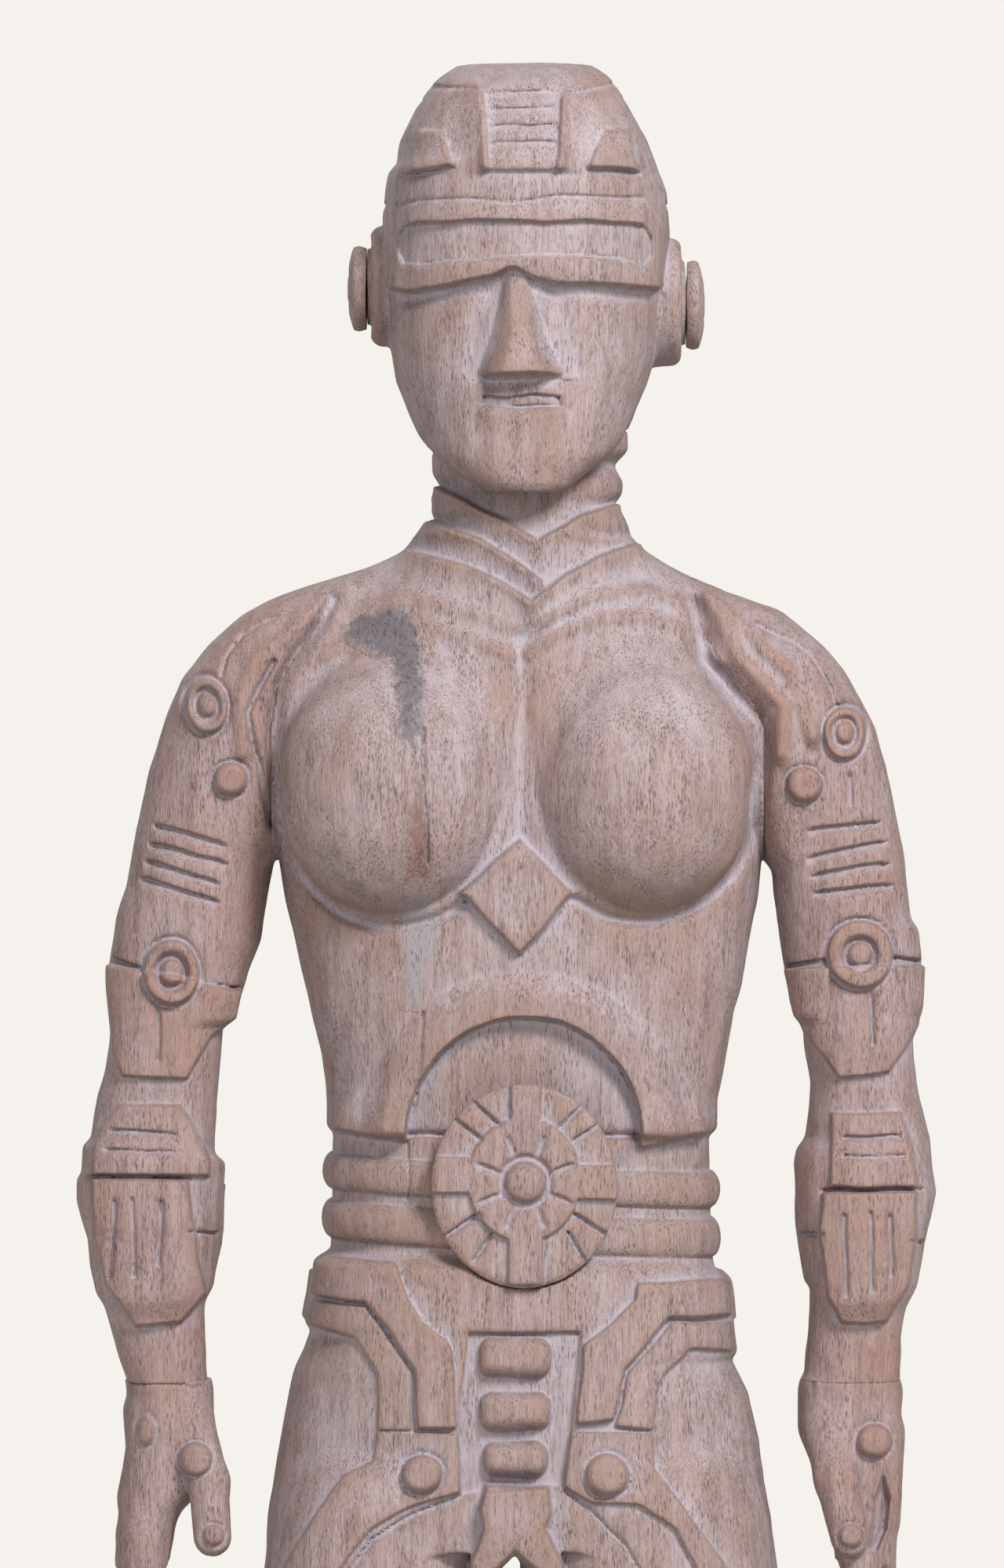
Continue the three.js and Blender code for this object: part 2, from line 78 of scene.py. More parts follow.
class Elevation:
    """A height map of carving, in mm, on a plane of x across and z up. Positive stands proud."""

    def __init__(self, low, high, gap=0.25):
        self.low = np.array(low, np.float32)
        self.gap = gap
        counts = [int((b - a) / gap) + 1 for a, b in zip(low, high)]
        self.x, self.z = [a + gap * np.arange(n, dtype=np.float32) for a, n in zip(low, counts)]
        self.height = np.zeros((counts[1], counts[0]), np.float32)

    def window(self, points, pad):
        """The part of the map within pad of some points: its slices, and its x and z."""
        points = np.array(points, np.float32)
        low, high = points.min(0) - pad, points.max(0) + pad
        columns = slice(*np.searchsorted(self.x, [low[0], high[0]]))
        rows = slice(*np.searchsorted(self.z, [low[1], high[1]]))
        x, z = np.meshgrid(self.x[columns], self.z[rows])
        return (rows, columns), x, z

    def along(self, points, pad, closed=False):
        """Distance to a line through points, positive on its left, over the window round it."""
        where, x, z = self.window(points, pad)
        best = np.full(x.shape, 1e9, np.float32)
        side = np.zeros(x.shape, np.float32)
        ends = points[1:] + points[:1] if closed else points[1:]
        for (x0, z0), (x1, z1) in zip(points, ends):
            dx, dz = x1 - x0, z1 - z0
            t = np.clip(((x - x0) * dx + (z - z0) * dz) / (dx * dx + dz * dz), 0, 1)
            away = np.hypot(x - x0 - t * dx, z - z0 - t * dz)
            turn = dx * (z - z0) - dz * (x - x0)
            closer = (away < best - 1e-4) | ((away < best + 1e-4) & (np.abs(turn) > np.abs(side)))
            best = np.where(closer, away, best)
            side = np.where(closer, turn, side)
        return where, best * np.sign(side), x, z

    def inside(self, points, pad):
        """How deep inside a closed outline each place lies, negative outside."""
        where, away, x, z = self.along(points, pad, closed=True)
        crossings = np.zeros(x.shape, bool)
        for (x0, z0), (x1, z1) in zip(points, points[1:] + points[:1]):
            if z0 != z1:
                spans = (z0 > z) != (z1 > z)
                crossings ^= spans & (x < (x1 - x0) * (z - z0) / (z1 - z0) + x0)
        return where, np.where(crossings, np.abs(away), -np.abs(away)), x, z

    def plate(self, points, height, edge=0.7):
        """Raises, or with a negative height sinks, a closed outline."""
        where, depth, _, _ = self.inside(points, edge + 1)
        self.height[where] += height * ramp(depth / edge + 0.5)

    def groove(self, points, width=1.3, depth=0.8):
        """A V-tool cut along a line. A level one is steep on its upper side and shallow below."""
        run, rise = points[-1][0] - points[0][0], points[-1][1] - points[0][1]
        level = abs(run) > abs(rise)
        if level and run < 0:
            points = points[::-1]
        where, away, _, _ = self.along(points, width + 0.5)
        if level:
            upper, lower = 1 - away / (0.25 * width), 1 + away / (1.1 * width)
            self.height[where] -= 1.25 * depth * np.clip(np.where(away > 0, upper, lower), 0, 1)
        else:
            self.height[where] -= depth * np.clip(1.15 - np.abs(away) / (width / 2), 0, 1)

    def ridge(self, points, width, height):
        """A soft swelling along a line, or with a negative height a soft hollow."""
        where, away, _, _ = self.along(points, 2 * width)
        self.height[where] += height * np.exp(-((away / width) ** 2))

    def step(self, points, height, wall=1.0, reach=8.0, taper=None):
        """A ledge: the surface rises towards the line on its left, and drops by a wall on its right."""
        where, away, x, z = self.along(points, reach + 1)
        rise = np.clip(1 - away / reach, 0, 1) ** 1.5
        drop = np.clip(1 + away / wall, 0, 1)
        # the ledge dies away past the line's ends
        ends = fade(points, x, z, taper or wall)
        self.height[where] += height * ends * np.where(away >= 0, rise, drop)

    def boss(self, centre, radii, height, round_off=0.5, sink=0.6):
        """A stud: a flat-topped round dome standing in a cut ring."""
        where, x, z = self.window([centre], max(radii) + 3)
        radius = np.hypot((x - centre[0]) / radii[0], (z - centre[1]) / radii[1])
        size = min(radii)
        body = np.clip((1 - radius) / round_off, 0, 1)
        moat = np.exp(-(((radius - 1) * size / 0.7) ** 2))
        self.height[where] += height * np.sqrt(body * (2 - body)) - sink * moat

    def ringed_disc(self, centre, radii, height, hub):
        """A disc with a turned moat round a small hub."""
        where, x, z = self.window([centre], max(radii) + 3)
        radius = np.hypot((x - centre[0]) / radii[0], (z - centre[1]) / radii[1]) * min(radii)
        edge = min(radii)
        disc = ramp((edge - radius) / 1.2 + 0.5)
        moat = np.exp(-(((radius - (hub + 1.3)) / 0.9) ** 2))
        outer = np.exp(-(((radius - edge - 0.5) / 0.7) ** 2))
        self.height[where] += height * disc - 0.9 * height * moat - 0.7 * outer

    def settle(self, strength, radius=4.0):
        """Strengthens the finished relief, and works out how far each place is sunk below those round it."""
        self.height *= strength
        smooth = self.height
        half = int(radius / self.gap)
        for axis in (0, 1, 0, 1):
            padded = np.pad(smooth, [(half + 1, half) if a == axis else (0, 0) for a in (0, 1)], mode="edge")
            total = np.cumsum(padded, axis, dtype=np.float64)
            ahead, behind = [slice(None)] * 2, [slice(None)] * 2
            ahead[axis], behind[axis] = slice(2 * half + 1, None), slice(0, -2 * half - 1)
            smooth = ((total[tuple(ahead)] - total[tuple(behind)]) / (2 * half + 1)).astype(np.float32)
        self.sunk = smooth - self.height

    def read(self, x, z, values=None):
        """The height, or another map's value, at each x, z."""
        u = np.clip((x - self.low[0]) / self.gap, 0, len(self.x) - 1.001)
        v = np.clip((z - self.low[1]) / self.gap, 0, len(self.z) - 1.001)
        i, j = u.astype(np.int32), v.astype(np.int32)
        s, t = u - i, v - j
        h = self.height if values is None else values
        lower = h[j, i] * (1 - s) + h[j, i + 1] * s
        upper = h[j + 1, i] * (1 - s) + h[j + 1, i + 1] * s
        return lower * (1 - t) + upper * t


# ------------------------------------------------------------------ distance fields


def profile(points, smooth):
    """A smooth function of height through (z, value) points."""
    z, value = np.array(sorted(points), np.float32).T
    fine = np.arange(z[0] - 8, z[-1] + 8, 0.25, dtype=np.float32)
    half = int(16 * smooth)
    spread = 0.25 * np.arange(-half, half + 1)
    weights = np.exp(-0.5 * (spread / smooth) ** 2)
    table = np.interp(fine, z, value)
    padded = np.pad(table, half, mode="edge")
    table = np.convolve(padded, weights / weights.sum(), mode="valid").astype(np.float32)
    return lambda height: np.interp(height, fine, table).astype(np.float32)


class Loft:
    """A body whose level sections are rounded boxes between four edges, each a function of height."""

    def __init__(self, right, left, front, back, bottom, top, power, smooth):
        self.edges = [profile(points, smooth) for points in (right, left, front, back)]
        self.bottom, self.top, self.power = bottom, top, power

    def at(self, x, y, z):
        """Each place across and deep in its section, as shares of the half sizes, and those half sizes."""
        right, left, front, back = (edge(z) for edge in self.edges)
        u = (x - (right + left) / 2) / ((left - right) / 2)
        v = (y - (front + back) / 2) / ((back - front) / 2)
        return u, v, (left - right) / 2, (back - front) / 2

    def __call__(self, x, y, z):
        """Distance to the body, negative inside."""
        u, v, half_x, half_y = self.at(x, y, z)
        size = (np.abs(u) ** self.power + np.abs(v) ** self.power) ** (1 / self.power)
        reach = np.hypot(u * half_x, v * half_y)
        away = reach - reach / np.maximum(size, 0.05)
        return np.maximum(away, np.maximum(self.bottom - z, z - self.top))

    def facing_front(self, x, y, z):
        """1 where the section's surface faces the front, 0 at its sides and behind."""
        u, v, half_x, half_y = self.at(x, y, z)
        return ramp((-v * half_y / np.maximum(np.hypot(u * half_x * 0.8, v * half_y), 0.1) - 0.15) / 0.4)


def ellipsoid(centre, radii):
    """Distance to an ellipsoid, near enough for carving."""
    centre, radii = np.array(centre, np.float32), np.array(radii, np.float32)

    def field(x, y, z):
        p = [(q - c) / r for q, c, r in zip((x, y, z), centre, radii)]
        k0 = np.sqrt(p[0] ** 2 + p[1] ** 2 + p[2] ** 2)
        k1 = np.sqrt(sum((q / r) ** 2 for q, r in zip(p, radii)))
        return k0 * (k0 - 1) / np.maximum(k1, 1e-3)

    return field


def limb(a, b, radius_a, radius_b):
    """A tapered round bar from a to b."""
    a, b = np.array(a, np.float32), np.array(b, np.float32)
    along = b - a
    length2 = float(along @ along)

    def field(x, y, z):
        q = (x - a[0], y - a[1], z - a[2])
        t = np.clip((q[0] * along[0] + q[1] * along[1] + q[2] * along[2]) / length2, 0, 1)
        away = np.sqrt(sum((part - t * run) ** 2 for part, run in zip(q, along)))
        return away - (radius_a + t * (radius_b - radius_a))

    return field


def blend(a, b, soft):
    """The union of two fields, filleted over a width of soft."""
    h = np.clip(0.5 + 0.5 * (b - a) / soft, 0, 1)
    return b + (a - b) * h - soft * h * (1 - h)


def lattice_noise(seed, low, high, spacing):
    """Smooth noise between -1 and 1 from a lattice of random values, as a function of x, y, z."""
    random = np.random.default_rng(seed)
    low = np.array(low, np.float32)
    counts = np.ceil((np.array(high) - low) / spacing).astype(int) + 3
    values = random.uniform(-1, 1, counts).astype(np.float32)

    def field(x, y, z):
        total = 0
        cell, part = [], []
        for q, lowest, gap, count in zip((x, y, z), low, spacing, counts):
            u = np.clip((q - lowest) / gap, 0, count - 1.001)
            i = u.astype(np.int32)
            cell.append(i)
            part.append(ramp(u - i))
        for corner in np.ndindex(2, 2, 2):
            weight = 1
            for far, t in zip(corner, part):
                weight = weight * (t if far else 1 - t)
            total = total + weight * values[tuple(i + far for i, far in zip(cell, corner))]
        return total

    return field


# ------------------------------------------------------------------ from a field to a mesh


BLOCK = 4  # cells along each side of a block that the first, coarse pass keeps or drops
COARSE_MARGIN, FINER_MARGIN = 6.0, 2.0  # slack in mm for carving that lies between a pass's places
NEAR = 0.62  # nowhere in a block is further from a corner than half its diagonal; the rest is slack


def spaced(low, high, fine_from, fine_to, step):
    """Places along an axis, step apart within the fine stretch and twice that outside it."""
    places = [low]
    while places[-1] < high:
        fine = fine_from <= places[-1] < fine_to
        places.append(places[-1] + (step if fine else 2 * step))
    while (len(places) - 1) % BLOCK:
        places.append(places[-1] + 2 * step)
    return np.array(places, np.float32)


def corners_of(nodes, cells_shape):
    """The eight shifted views of a node array, one for each corner of its cells."""
    return [
        nodes[tuple(slice(c, n + c) for c, n in zip(corner, cells_shape))]
        for corner in np.ndindex(2, 2, 2)
    ]


def near_surface(field, axes, keep, margin):
    """Which kept blocks may hold the surface, which corners the field was worked out at, and its values."""
    nodes = np.zeros([n + 1 for n in keep.shape], bool)
    for view in corners_of(nodes, keep.shape):
        view |= keep
    picked = np.nonzero(nodes)
    value = np.full(nodes.shape, np.inf, np.float32)
    value[picked] = field(*(axis[i] for axis, i in zip(axes, picked)))
    widest = math.sqrt(sum(float(np.diff(axis).max()) ** 2 for axis in axes))
    near = corners_of(np.abs(value) < NEAR * widest + margin, keep.shape)
    signs = corners_of(value < 0, keep.shape)
    crossed = np.logical_or.reduce(signs) & ~np.logical_and.reduce(signs)
    return keep & (np.logical_or.reduce(near) | crossed), nodes, value


def sculpt(field, axes):
    """A closed quad mesh of field = 0: its vertices in mm and its faces."""
    cells = np.ones([(len(axis) - 1) // BLOCK for axis in axes], bool)
    for block, margin in ((BLOCK, COARSE_MARGIN), (BLOCK // 2, FINER_MARGIN)):
        cells, _, _ = near_surface(field, [axis[::block] for axis in axes], cells, margin)
        cells = cells.repeat(2, 0).repeat(2, 1).repeat(2, 2)
    _, nodes, dense = near_surface(field, axes, cells, 0)
    solid = dense < 0

    views = corners_of(solid, cells.shape)
    mixed = cells & np.logical_or.reduce(views) & ~np.logical_and.reduce(views)
    cell = np.nonzero(mixed)
    number = np.full(cells.shape, -1, np.int32)
    number[cell] = np.arange(len(cell[0]), dtype=np.int32)

    place = np.zeros((len(cell[0]), 3), np.float32)
    hits = np.zeros(len(cell[0]), np.float32)
    for direction in range(3):
        others = [d for d in range(3) if d != direction]
        for offset in np.ndindex(2, 2):
            start = [i.copy() for i in cell]
            for other, shift in zip(others, offset):
                start[other] += shift
            end = [i.copy() for i in start]
            end[direction] += 1
            f0, f1 = dense[tuple(start)], dense[tuple(end)]
            crossed = (f0 < 0) != (f1 < 0)
            t = np.where(crossed, f0 / np.where(crossed, f0 - f1, 1), 0)
            for d in range(3):
                at = axes[d][start[d]]
                if d == direction:
                    at = at + t * (axes[d][end[d]] - at)
                place[:, d] += np.where(crossed, at, 0)
            hits += crossed
    place /= hits[:, None]

    quads = []
    for direction in range(3):
        before = [slice(None)] * 3
        after = [slice(None)] * 3
        before[direction], after[direction] = slice(0, -1), slice(1, None)
        flips = solid[tuple(before)] != solid[tuple(after)]
        edge = np.nonzero(flips & nodes[tuple(before)] & nodes[tuple(after)])
        out = solid[tuple(before)][edge]
        a, b = [(direction + k) % 3 for k in (1, 2)]
        ring = []
        for shift_a, shift_b in ((-1, -1), (0, -1), (0, 0), (-1, 0)):
            at = [i.copy() for i in edge]
            at[a] += shift_a
            at[b] += shift_b
            ring.append(number[tuple(at)])
        ring = np.stack(ring, 1)
        ring[~out] = ring[~out][:, ::-1]
        quads.append(ring)
    quads = np.concatenate(quads)
    return place, quads[(quads >= 0).all(1)]


def sharpen(place, field, rounds=2, step=0.12, limit=0.5):
    """Moves each vertex onto the field's own surface, so that carved edges come out crisp."""
    for _ in range(rounds):
        here = field(*place.T)
        shifts = step * np.eye(3, dtype=np.float32)
        slope = np.stack([field(*(place + shift).T) - here for shift in shifts], 1) / step
        steep = np.maximum((slope ** 2).sum(1), 0.25)
        move = -(here / steep)[:, None] * slope
        length = np.linalg.norm(move, axis=1, keepdims=True)
        place = place + move * np.minimum(1, limit * DETAIL / np.maximum(length, 1e-6))
    return place


def neighbour_mean(value, edges, count):
    """Each vertex's mean over its neighbours along the mesh's edges."""
    total = np.empty_like(value)
    ends = np.concatenate([edges[:, 0], edges[:, 1]])
    others = np.concatenate([edges[:, 1], edges[:, 0]])
    for column in range(value.shape[1]):
        total[:, column] = np.bincount(ends, value[others, column], len(value))
    return total / count[:, None]


HOLLOW_ROUNDS = (3, 24)  # smoothings of the surface that show up its tight and its broad hollows


def hollowness(place, quads, rounds):
    """How far each vertex lies below its smoothed surroundings, in mm: positive in a hollow."""
    edges = np.concatenate([quads[:, [0, 1]], quads[:, [1, 2]], quads[:, [2, 3]], quads[:, [3, 0]]])
    count = np.maximum(np.bincount(edges.ravel(), minlength=len(place)), 1).astype(np.float32)
    corner = place[quads]
    normal = np.cross(corner[:, 2] - corner[:, 0], corner[:, 3] - corner[:, 1])
    weighed = [sum(np.bincount(quads[:, k], part, len(place)) for k in range(4)) for part in normal.T]
    normals = np.stack(weighed, 1)
    normals /= np.maximum(np.linalg.norm(normals, axis=1, keepdims=True), 1e-9)
    smooth = place
    levels = []
    for number in range(1, max(rounds) + 1):
        smooth = neighbour_mean(smooth, edges, count)
        if number in rounds:
            levels.append(((smooth - place) * normals).sum(1))
    return levels


def make_mesh(name, place, quads, attributes):
    """A smooth-shaded mesh object from vertices in mm, with named values on its vertices."""
    mesh = bpy.data.meshes.new(name)
    mesh.vertices.add(len(place))
    mesh.vertices.foreach_set("co", (place * MM).astype(np.float32).ravel())
    mesh.loops.add(quads.size)
    mesh.loops.foreach_set("vertex_index", quads.astype(np.int32).ravel())
    mesh.polygons.add(len(quads))
    mesh.polygons.foreach_set("loop_start", np.arange(0, quads.size, 4, dtype=np.int32))
    mesh.polygons.foreach_set("loop_total", np.full(len(quads), 4, np.int32))
    mesh.polygons.foreach_set("use_smooth", np.ones(len(quads), bool))
    mesh.update(calc_edges=True)
    for key, value in attributes.items():
        layer = mesh.attributes.new(key, "FLOAT", "POINT")
        layer.data.foreach_set("value", value.astype(np.float32))
    mesh.validate()
    obj = bpy.data.objects.new(name, mesh)
    bpy.context.collection.objects.link(obj)
    return obj


def carve_piece(name, field, axes, material, nodes, relief=None, extra=None, joint=None):
    """Sculpts one piece, gives it its material, and puts it in place of its CAD node."""
    place, quads = sculpt(field, axes)
    place = sharpen(place, field)
    fine, broad = hollowness(place, quads, HOLLOW_ROUNDS)
    if relief:
        u, v = front_view(*place.T)
        seen = ramp((-place[:, 1] - 2) / 8)
        broad = broad + 0.5 * seen * relief.read(u, v, relief.sunk)
    if joint:
        # the edges of glued faces are no hollows
        clear = ramp((np.abs(joint(*place.T)) + JOIN) / 1.6)
        fine, broad = fine * clear, broad * clear
    attributes = {"fine": fine, "broad": broad, **(extra(*place.T) if extra else {})}
    piece = make_mesh(name, place, quads, attributes)
    piece.data.materials.append(material)
    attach(piece, "root")
    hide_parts(*nodes)
    print(f"{name}: {len(place)} vertices, {len(quads)} faces")
    return piece


# ------------------------------------------------------------------ the body's blank shape, all in mm

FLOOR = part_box("plinth")[1][2] / MM  # the boots stand on the plinth's top
NECK_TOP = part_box("trunk")[1][2] / MM
WRIST = 364.0


def mirrored(points):
    """The same edge on the figure's other side."""
    return [(z, -value) for z, value in points]


TORSO = Loft(
    right=[(316, -62), (330, -64), (352, -61), (366, -58), (377, -53.5), (379, -55), (387, -53.8),
           (395, -52.6), (397.4, -48.2), (427.4, -47.8), (428.8, -49.6), (440, -49.6), (447, -50.8),
           (456, -53.2), (468, -55.8), (486, -59.8), (506, -63.5), (530, -62), (552, -55), (562, -47),
           (568, -38), (576, -26)],
    left=[(316, 62), (330, 62), (348, 60.8), (361, 57.8), (369.5, 53.4), (371, 55), (384, 53.8),
          (389.5, 52.8), (392.4, 49.6), (397, 48.6), (426.4, 47.8), (428, 50), (436, 50), (449, 52.6),
          (458, 54.2), (465, 56.4), (486, 60), (506, 62.5), (530, 62), (552, 54), (562, 46), (568, 38),
          (576, 28)],
    front=[(314, -34), (330, -37), (366, -38), (394, -37), (397, -33), (427, -32), (428.6, -34.5),
           (440, -34.5), (470, -36), (500, -37), (530, -36.5), (550, -34), (562, -31), (570, -28),
           (576, -26)],
    back=[(314, 38), (325, 42), (350, 43.5), (380, 40), (394, 38), (397, 33), (427, 32), (428.6, 34),
          (450, 34), (480, 37), (520, 40), (545, 39), (560, 36), (568, 32), (576, 28)],
    bottom=322.6, top=577, power=2.5, smooth=0.7,
)
NECK = Loft(
    right=[(570, -30), (574, -26.2), (576, -26.4), (580, -26), (582.8, -21.6), (585, -22.8), (588.5, -22.6),
           (591.4, -20.2), (595, -22.4), (600, -22.6), (603, -21)],
    left=[(570, 33), (576, 27.4), (581, 27.6), (586.4, 23.4), (590, 26), (593, 26.2), (597.2, 23.8),
          (601, 27.4), (605, 27.2)],
    front=[(570, -27), (585, -25), (596, -23), (606, -22)],
    back=[(570, 31), (575, 27), (579, 28), (583, 24.5), (587, 27), (591, 24.5), (595, 27), (599, 24.5),
          (603, 26)],
    bottom=568, top=NECK_TOP, power=2.3, smooth=0.6,
)


def leg(side):
    """Thigh, knee, shin and boot in one loft."""
    outer = [(24, 56), (45, 55.5), (60, 54), (74, 53.5), (77, 50), (92, 51), (112, 55), (140, 58.5),
             (165, 58), (184, 57), (188, 59), (220, 58.5), (224, 58), (250, 61.5), (280, 65), (300, 66.3),
             (316, 65.5), (330, 63.5), (342, 60), (356, 50)]
    inner = [(24, 12), (45, 12), (60, 13.5), (74, 14), (77, 17), (92, 16), (112, 13.5), (140, 10.5),
             (165, 10.5), (184, 11), (188, 9.5), (220, 9), (224, 9), (250, 7.5), (280, 6), (300, 4.6 - side),
             (310, 4.2 - 3.2 * side), (316, 4 - 4 * side), (330, 4 - 4 * side), (356, 8)]
    front_edge = [(24, -52), (36, -52), (43, -46), (50, -36), (58, -27), (74, -24), (77, -20.5), (90, -20),
                  (112, -23), (140, -26.5), (165, -27), (184, -27), (188, -29), (204, -30.5), (220, -29),
                  (224, -28), (250, -30), (280, -34), (316, -37), (332, -37), (344, -35), (356, -26)]
    back_edge = [(24, 26), (40, 27.5), (60, 25.5), (74, 26), (77, 23), (92, 24), (115, 28), (140, 31),
                 (165, 29), (184, 26), (188, 27.5), (220, 28), (224, 27), (250, 31), (280, 36), (316, 41),
                 (332, 42), (344, 40), (356, 30)]
    right, left = (mirrored(outer), mirrored(inner)) if side < 0 else (inner, outer)
    return Loft(right, left, front_edge, back_edge, FLOOR + 2 * JOIN, 357, power=2.4, smooth=0.8)


# The outline of each arm, seen from the front: the figure's own right arm, then its left one.
ARM_OUTER = {
    -1: [(364, -100.4), (374, -103.4), (383, -106.2), (386, -108), (393, -109.6), (400, -110.2),
         (406, -112.2), (410, -113.2), (415.6, -113.2), (417, -112), (424, -111.6), (425.6, -109.6),
         (437, -107.8), (443, -106), (450, -104.8), (456, -104.4), (463, -105.4), (476, -104.2),
         (482, -103.4), (490, -100.6), (504, -98), (520, -94.6), (533, -90.4), (543, -86.4), (552, -79),
         (559, -71.2), (563, -64), (566, -56), (569, -46), (571.5, -38), (575, -30), (580, -24)],
    1: [(364, 96.6), (375, 97), (383, 98.4), (388, 101), (399, 102.8), (406, 104.6), (412, 105.8),
        (418, 104.8), (426, 104.2), (437, 101.6), (446, 100.4), (456, 99.6), (460, 101.4), (472, 102.2),
        (479, 101.4), (482, 99.4), (499, 97.4), (512, 94.8), (521, 93), (530, 90.2), (537, 86.8), (545, 82.4),
        (551, 77.4), (557, 70.4), (560.6, 66), (562.6, 59), (566, 50), (569, 43), (572, 37), (576, 30),
        (580, 24)],
}
ARM_INNER = {
    -1: [(364, -80), (384, -80.6), (388, -78.4), (404, -76.4), (411, -76.2), (419.6, -75.4), (421.6, -78),
         (434, -77.8), (449, -76.4), (454.4, -76), (455.8, -72.8), (468, -69.8), (476, -66.6), (488, -64.6),
         (496, -63), (504, -56), (520, -46), (545, -30), (562, -22), (580, -8)],
    1: [(364, 71), (366, 72.4), (378, 73.4), (387.6, 73.6), (389, 72.2), (404, 70.2), (419, 69.6),
        (423, 70.4), (426, 72.6), (440, 73.8), (449, 72.2), (455, 71.8), (457, 69.6), (471, 66.8),
        (480, 65.6), (494, 64), (503, 57), (520, 45), (545, 30), (562, 22), (580, 8)],
}
ARM_FRONT = [(364, -13), (380, -14), (385, -17), (404, -19.5), (421, -19), (425, -17.5), (440, -16),
             (455, -17.5), (475, -19), (500, -20), (530, -24), (548, -24), (558, -21), (566, -17), (575, -14),
             (580, -12)]
ARM_BACK = [(364, 13), (380, 14), (385, 17), (404, 19.5), (421, 19), (425, 17.5), (440, 17), (455, 18.5),
            (475, 20), (500, 21), (530, 25), (548, 25), (558, 22), (566, 18), (575, 14), (580, 12)]


def arm(side):
    """An arm from shoulder to just below the wrist, in one loft."""
    edges = (ARM_OUTER[side], ARM_INNER[side]) if side < 0 else (ARM_INNER[side], ARM_OUTER[side])
    return Loft(*edges, ARM_FRONT, ARM_BACK, WRIST - 8, 579, power=2.5, smooth=0.7)


# The line in front view along which each arm is joined to the trunk, and down between them to the hands.
SEAM = {
    -1: [(-53, 640), (-53, 566), (-51, 557), (-56, 549), (-61, 541), (-63, 530), (-62.8, 488), (-62.5, 470),
         (-66, 440), (-69, 330), (-70, 250)],
    1: [(38, 640), (43, 566), (46, 554), (52, 545), (58, 538), (61, 530), (61.4, 488), (62, 470), (63, 440),
        (69, 330), (70, 250)],
}


def seam_side(side):
    """Distance to the seam, as a map: positive on the arm's side."""
    seam = Elevation((-125, 250), (125, 645), 0.5)
    where, away, _, _ = seam.along(SEAM[side], 300)
    seam.height[where] = side * away
    return seam.read


BREASTS = [((-31.8, -25, 515), (30, 27.5, 33.5)), ((30.6, -25, 515), (28.8, 27.5, 33))]
chests = [ellipsoid(*shape) for shape in BREASTS]
legs = [leg(-1), leg(1)]
arms = {side: arm(side) for side in (-1, 1)}
seams = {side: seam_side(side) for side in (-1, 1)}


def front_view(x, y, z):
    """Where a point is seen from the front, on the plane through the figure's middle."""
    nearer = EYE[1] / (EYE[1] - y)
    return EYE[0] + (x - EYE[0]) * nearer, EYE[2] + (z - EYE[2]) * nearer


def waist_rings(x, z):
    """Two rolled rings round the waist, a little lower on the figure's left."""
    level = z + 0.049 * x
    height = 0
    for centre, half in ((415.4, 4.6), (403.2, 4.9)):
        height = height + 2.6 * np.sqrt(np.clip(1 - ((level - centre) / half) ** 2, 0, 1))
    return height


def body(x, y, z, arm_sides=(-1, 1), whole=True):
    """The blank of trunk, arms, and where whole is true legs and neck too, in one, before any carving."""
    shape = TORSO(x, y, z) - waist_rings(x, z)
    if whole:
        shape = blend(shape, NECK(x, y, z), 2.5)
    soft = 1.2 + 7 * ramp((z - 508) / 40)
    for chest in chests:
        shape = blend(shape, chest(x, y, z), soft)
    if whole:
        shape = blend(shape, np.minimum(legs[0](x, y, z), legs[1](x, y, z)), 3)
    for side in arm_sides:
        shape = blend(shape, arms[side](x, y, z), 1 + 5 * ramp((z - 500) / 25))
    return shape


# ------------------------------------------------------------------ the carving on the body

front = Elevation((-122, 20), (114, 612))
back = Elevation((-122, 20), (122, 612), 0.5)


def carve_collar():
    """Three pleats that cross below the throat, the neckline's ridges, and two cracks."""
    for line in (
        [(25, 586.8), (15.8, 584), (10.2, 581), (4.6, 577.6), (-4.6, 582.8), (-13.6, 587.6), (-22, 591.8)],
        [(4.8, 567.8), (0, 571.4), (-4.6, 574.6), (-10.6, 577.8), (-23, 582.4)],
        [(29, 577), (20.6, 573.8), (12.2, 569.3), (3, 562.4), (-6.8, 568), (-14, 571.2), (-27.6, 575)],
    ):
        front.step(line, height=2.3, wall=1.2, reach=9, taper=4.0)
    # soft ridges of the neckline, meeting over the breastbone
    for line, height in (
        ([(6.4, 557.4), (12.4, 560.8), (21.6, 565), (32, 566), (40, 562.8), (46, 556)], 1.0),
        ([(2, 549.2), (10, 554.2), (20.4, 558.4), (31, 559), (43, 555.4), (50, 547)], 0.8),
        ([(-2, 556), (-12, 559.5), (-22, 562.5), (-33, 563)], 0.5),
        ([(-3, 549), (-13, 553.5), (-24, 556), (-38, 556), (-50, 549)], 0.6),
    ):
        front.ridge(line, width=2.0, height=height)
    front.ridge([(0, 553), (0, 500)], width=3.0, height=-1.2)
    # shakes: the wood has cracked along the grain beside and below the filled check
    for crack in (
        [(-24.8, 530), (-24.3, 512), (-23.8, 496)],
        [(-24.8, 458), (-25.8, 443), (-28.8, 426), (-28.6, 410)],
    ):
        front.groove(crack, 1.1, 0.9)


